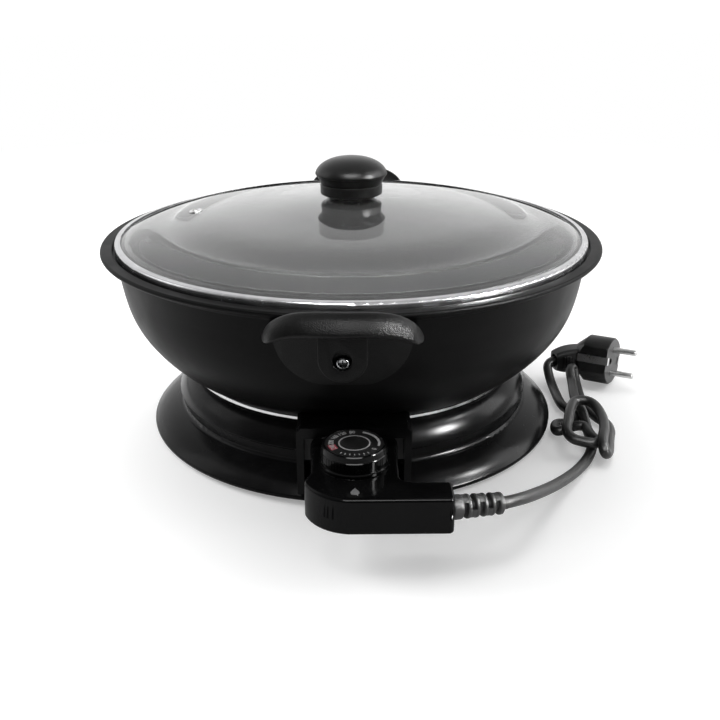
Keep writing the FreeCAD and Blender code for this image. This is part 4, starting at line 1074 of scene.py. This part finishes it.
@dataclass
class DialPrint:
    """The numbers, ring and marks on top of the dial: millimetres about its axis, and clock angles in degrees."""

    centre: Point = (0, -180.0, 60.62)
    thick: float = 0.09                 # of the ink
    ring_out: float = 9.5
    ring_wide: float = 0.8
    numbers: tuple[tuple[str, float], ...] = (("200", 274.0), ("160", 302.0), ("120", 328.0), ("80", 355.0))
    hottest: tuple[str, float] = ("240", 248.0)
    off: tuple[str, float] = ("0", 124.0)
    number_r: float = 13.6
    number_high: float = 4.4
    number_narrow: float = 0.82         # width of a number against its natural width
    number_bold: float = 0.06           # how much its strokes are widened
    sector: tuple[float, float] = (11.4, 15.9)
    sector_half: float = 12.0
    sweep: tuple[float, float] = (21.0, 105.5)
    sweep_radii: tuple[float, float] = (15.3, 13.9)
    sweep_shift: float = -0.35          # how far its hole is off the middle, which tapers it
    ticks: tuple[float, ...] = (147.0, 158.0, 169.0, 180.0, 191.0, 202.0, 213.0)
    tick_r: float = 14.4
    tick_long: float = 0.8              # half a tick's length
    tick_turn: float = 1.1              # half its width, as an angle

    def disc(self, name: str, outer: float, inner: float, shift: float = 0.0) -> bpy.types.Object:
        """A flat ring.

        Args:
            name: what to call it.
            outer: outer radius.
            inner: inner radius.
            shift: how far the hole is off the middle, along +Y.

        Returns:
            The ring, one face thick.
        """
        start_clean()
        bpy.ops.mesh.primitive_circle_add(vertices=120, radius=outer * MM, fill_type="NGON")
        ring = added(name)
        bpy.ops.object.mode_set(mode="EDIT")
        bpy.ops.mesh.select_all(action="SELECT")
        bpy.ops.mesh.inset(thickness=(outer - inner) * MM)
        if shift:
            bpy.ops.transform.translate(value=(0, shift * MM, 0))
        bpy.ops.mesh.delete(type="FACE")
        bpy.ops.object.mode_set(mode="OBJECT")
        return ring

    def cut_wedge(self, ring: bpy.types.Object, first: float, last: float) -> None:
        """Keeps a part of a ring, less than half a turn long.

        Args:
            ring: the ring.
            first: clock angle where the part starts, from +Y.
            last: clock angle where it ends.
        """
        sides = ((math.radians(first), -1), (math.radians(last), 1))
        bisect(ring, (((0, 0, 0), (side * math.cos(a), -side * math.sin(a), 0)) for a, side in sides), clear_outer=True)

    def thicken(self, flat: bpy.types.Object) -> bpy.types.Object:
        """Gives a flat mark the thickness of its ink and brings it to the dial.

        Args:
            flat: the mark.

        Returns:
            The same mark.
        """
        take(flat)
        bpy.ops.object.mode_set(mode="EDIT")
        bpy.ops.mesh.select_all(action="SELECT")
        bpy.ops.mesh.extrude_region_move(TRANSFORM_OT_translate={"value": (0, 0, self.thick * MM)})
        bpy.ops.object.mode_set(mode="OBJECT")
        face_out(flat)
        settle(flat, Matrix.Translation(Vector(self.centre) * MM))
        return flat

    def number(self, words: str, angle: float, lift: float = 0.0) -> bpy.types.Object:
        """Makes a number whose foot points to the dial's middle.

        Args:
            words: the number.
            angle: its clock angle.
            lift: how far it lies above the dial.

        Returns:
            The number.
        """
        start_clean()
        bpy.ops.object.text_add()
        text = added("dial_number_" + words)
        text.data.body, text.data.size = words, self.number_high * MM
        text.data.align_x, text.data.align_y = "CENTER", "CENTER"
        text.data.offset, text.data.extrude = self.number_bold * MM, self.thick * MM / 2
        bpy.ops.object.convert(target="MESH")
        text = bpy.context.object
        a = math.radians(angle)
        x, y, z = self.centre
        place = Vector((x + self.number_r * math.sin(a), y + self.number_r * math.cos(a), z + self.thick / 2 + lift))
        settle(text, Matrix.Translation(place * MM) @ Matrix.Rotation(-a, 4, "Z")
               @ Matrix.Diagonal((self.number_narrow, 1, 1, 1)))
        return text

    def tick(self, angle: float) -> bpy.types.Object:
        """Makes a short mark that points to the dial's middle.

        Args:
            angle: its clock angle.

        Returns:
            The mark.
        """
        ring = self.disc("dial_tick", self.tick_r + self.tick_long, self.tick_r - self.tick_long)
        self.cut_wedge(ring, angle - self.tick_turn, angle + self.tick_turn)
        return self.thicken(ring)

    def build(self) -> None:
        """Makes the white marks as one piece, and the red mark and its number as two more."""
        sweep = self.disc("dial_sweep", *self.sweep_radii, self.sweep_shift)
        self.cut_wedge(sweep, *self.sweep)
        marks = [self.thicken(self.disc("dial_ring", self.ring_out, self.ring_out - self.ring_wide)),
                 self.thicken(sweep), self.number(*self.off)]
        marks += [self.number(*number) for number in self.numbers] + [self.tick(angle) for angle in self.ticks]
        white = join(marks, "dial_white_marks")
        red = self.disc("dial_red_mark", self.sector[1], self.sector[0])
        self.cut_wedge(red, self.hottest[1] - self.sector_half, self.hottest[1] + self.sector_half)
        self.thicken(red)
        top = self.number(*self.hottest, lift=self.thick)
        for piece, ink in ((white, WHITE_INK), (red, RED_INK), (top, WHITE_INK)):
            dress(piece, ink)
            report(piece, Body.DIAL)


# Control

@dataclass
class ControlShells:
    """The two housing shells, with the front corner drawn in towards the foot and every edge softened."""

    corner: tuple[float, float] = (-0.6, -192.5)    # middle of the round corner, millimetres, as all sizes here
    radius: float = 30.0
    first_radius: float = 18.0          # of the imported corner
    low: float = 24.5                   # heights of the foot and the top
    high: float = 47.5
    drawn_low: float = 1.0              # share of the full rounding at the foot
    drawn_high: float = 1.1             # and at the top
    pull_start: float = 0.55            # share of the way out where the drawing in starts
    pull_over: float = 0.3              # share of the way out that it takes to reach its full size
    pull_power: float = 1.5
    screw: tuple[float, float] = (-20.0, -211.0)
    screw_clear: float = 4.6            # radius about the screw that is moved as one
    screw_reach: float = 27.0           # how far out the screw's post may stand
    cuts: int = 14                      # flat stretches round the corner
    edge: float = 0.35

    def reach(self, way: Vector) -> float:
        """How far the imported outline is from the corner's middle.

        Args:
            way: the direction, of length 1.

        Returns:
            The distance in millimetres.
        """
        flat = self.radius - self.first_radius
        side = max(abs(way.x), abs(way.y))
        straight = self.radius / side
        if straight * min(abs(way.x), abs(way.y)) <= flat:
            return straight
        along = flat * (abs(way.x) + abs(way.y))
        return along + math.sqrt(along * along - 2 * flat * flat + self.first_radius ** 2)

    def drawn(self, spot: Vector) -> Vector:
        """Moves a point of a shell.

        Args:
            spot: the point, in millimetres.

        Returns:
            Where it goes.
        """
        away = Vector((spot.x - self.corner[0], spot.y - self.corner[1], 0.0))
        near_screw = math.hypot(spot.x - self.screw[0], spot.y - self.screw[1]) < self.screw_clear
        if away.x >= -0.01 or away.y >= -0.01:
            return spot
        far, way = away.length, away.normalized()
        if near_screw:
            return spot + way * (min(far, self.screw_reach) - far)
        edge = self.reach(way)
        level = min(1.0, max(0.0, (spot.z - self.low) / (self.high - self.low)))
        share = self.drawn_low + (self.drawn_high - self.drawn_low) * level
        pull = min(1.0, max(0.0, (far / edge - self.pull_start) / self.pull_over)) ** self.pull_power
        return spot + way * (self.radius - edge) * share * pull

    def build(self) -> None:
        """Makes both shells."""
        x, y = self.corner
        for node, name in (("control_upper_shell", "control_top_shell"), ("control_lower_shell", "control_foot_shell")):
            shell = merged_copy(node, name)
            turns = (math.pi / 2 * step / self.cuts for step in range(1, self.cuts))
            bisect(shell, (((x * MM, y * MM, 0), (math.sin(a), -math.cos(a), 0)) for a in turns))
            for vertex in shell.data.vertices:
                vertex.co = self.drawn(vertex.co / MM) * MM
            soften(shell, self.edge * MM, 2, 60.0)
            smooth(shell, 35.0)
            flatten_shading(shell)
            dress(shell, SHELL_GLOSS)
            report(shell, Body.CONTROL, node)


@dataclass
class CordSleeve:
    """The strain relief: round ribs in a row, joined by turns on opposite sides, over a thin core."""

    root: Point = (55.6, -212.0, 36.0)
    yaw: float = 15.0                   # degrees from +X
    dip: float = 4.5                    # degrees below level
    ribs: tuple[tuple[float, float], ...] = (
        (-2.0, 4.4), (6.8, 9.4), (11.8, 14.3), (16.8, 19.2), (21.7, 24.0), (26.5, 29.6))
    first: float = 7.3                  # radius at the root, millimetres, as all sizes here
    last: float = 6.5                   # and at the tip
    rib_round: float = 0.9
    joint_over: float = 0.5             # how far a joint reaches into its ribs
    joint_inset: float = 0.35           # how much smaller it is than they are
    joint_cuts: tuple[tuple[Point, Point], ...] = (
        ((-0.6, 0, 0), (1, -0.2, 0)), ((0.15, 0, 0), (-1, 0.3, 0)))     # place in radii and normal, by turns
    core: float = 3.8
    core_end: float = 32.8

    def disc(self, start: float, end: float, radius: float, tip: float, round_by: float) -> bpy.types.Object:
        """Makes a disc of the sleeve.

        Args:
            start: where along the sleeve it starts.
            end: where it ends.
            radius: its radius at the start.
            tip: its radius at the end.
            round_by: how much its edges are rounded.

        Returns:
            The disc, still upright.
        """
        start_clean()
        bpy.ops.mesh.primitive_cone_add(vertices=40, radius1=radius * MM, radius2=tip * MM, depth=(end - start) * MM,
                                        location=(0, 0, (start + end) / 2 * MM))
        disc = added("sleeve_rib")
        settle(disc)
        if round_by:
            soften(disc, round_by * MM, 3, 50.0)
        return disc

    def radius_at(self, place: float) -> float:
        """The sleeve's outer radius at a place along it."""
        return self.first + (self.last - self.first) * max(0.0, place) / self.ribs[-1][1]

    def build(self) -> bpy.types.Object:
        """Makes the ribs, the joints between them and the core as one piece.

        Returns:
            The sleeve.
        """
        parts = [self.disc(a, b, self.radius_at(a), self.radius_at(b), self.rib_round) for a, b in self.ribs]
        parts.append(self.disc(self.ribs[0][0], self.core_end, self.core, self.core, 0.0))
        for index, (rib, following) in enumerate(zip(self.ribs, self.ribs[1:])):
            start, end = rib[1] - self.joint_over, following[0] + self.joint_over
            radius = self.radius_at(start) - self.joint_inset
            joint = self.disc(start, end, radius, radius, 0.0)
            place, way = self.joint_cuts[index % 2]
            bisect(joint, ((Vector(place) * radius * MM, way),), clear_outer=True, use_fill=True)
            parts.append(joint)
        sleeve = join(parts, "cord_sleeve")
        settle(sleeve, Matrix.Translation(Vector(self.root) * MM) @ Matrix.Rotation(math.radians(self.yaw), 4, "Z")
               @ Matrix.Rotation(math.radians(90 + self.dip), 4, "Y"))
        smooth(sleeve, 40.0)
        dress(sleeve, RELIEF_RUBBER)
        report(sleeve, Body.CONTROL, "strain_relief")
        return sleeve


# Plug

@dataclass
class PlugMoulding:
    """The plug's moulding with softened edges and a paler pin face."""

    face: Point = (215.8, 35.5, 20.6)   # middle of the pin face, millimetres
    yaw: float = -35.0                  # degrees, as the two below
    tilt: float = 3.0
    roll: float = -17.0
    edge: float = 0.5
    face_deep: float = 0.3              # how far from the face's plane it may lie
    face_lean: float = 0.9              # and how closely it must look along the pins

    def place(self) -> Matrix:
        """From the plug's own frame, pins along +X, to the table."""
        return (Matrix.Translation(Vector(self.face) * MM) @ Matrix.Rotation(math.radians(self.yaw), 4, "Z")
                @ Matrix.Rotation(math.radians(-self.tilt), 4, "Y") @ Matrix.Rotation(math.radians(self.roll), 4, "X"))

    def build(self) -> bpy.types.Object:
        """Makes the moulding and dresses its face.

        Returns:
            The moulding.
        """
        body = merged_copy("plug_body", "plug_moulding")
        soften(body, self.edge * MM, 2, 40.0)
        smooth(body, 35.0)
        flatten_shading(body)
        dress(body, PLUG_RUBBER)
        body.data.materials.append(PLUG_FACE.material())
        home = self.place().inverted()
        pins = (home.to_3x3().inverted() @ Vector((1, 0, 0))).normalized()
        for polygon in body.data.polygons:
            spot = home @ polygon.center
            if abs(spot.x) < self.face_deep * MM and polygon.normal.dot(pins) > self.face_lean:
                polygon.material_index = 1
        report(body, Body.CONTROL, "plug_body")
        return body


def dress_nodes() -> None:
    """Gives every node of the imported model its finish."""
    for name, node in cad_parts.items():
        dress(node, NODE_FINISHES[name])


def main() -> None:
    """Builds the camera and the cord, then the finishes, the pieces and the studio."""
    logging.basicConfig(level=logging.INFO, format="%(name)s: %(message)s")
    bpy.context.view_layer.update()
    bpy.context.scene.view_settings.view_transform = "Standard"
    Viewpoint().build()
    cord_maker = MainsCord()
    cord = cord_maker.build()
    dress_nodes()
    plug = PlugMoulding().build()
    ControlShells().build()
    CordSleeve().build()
    HoodedHandle("front_handle", -2.1).build()
    HoodedHandle("rear_handle", 177.9).build()
    DialPrint().build()
    Studio().build()


if __name__ == "__main__":
    main()
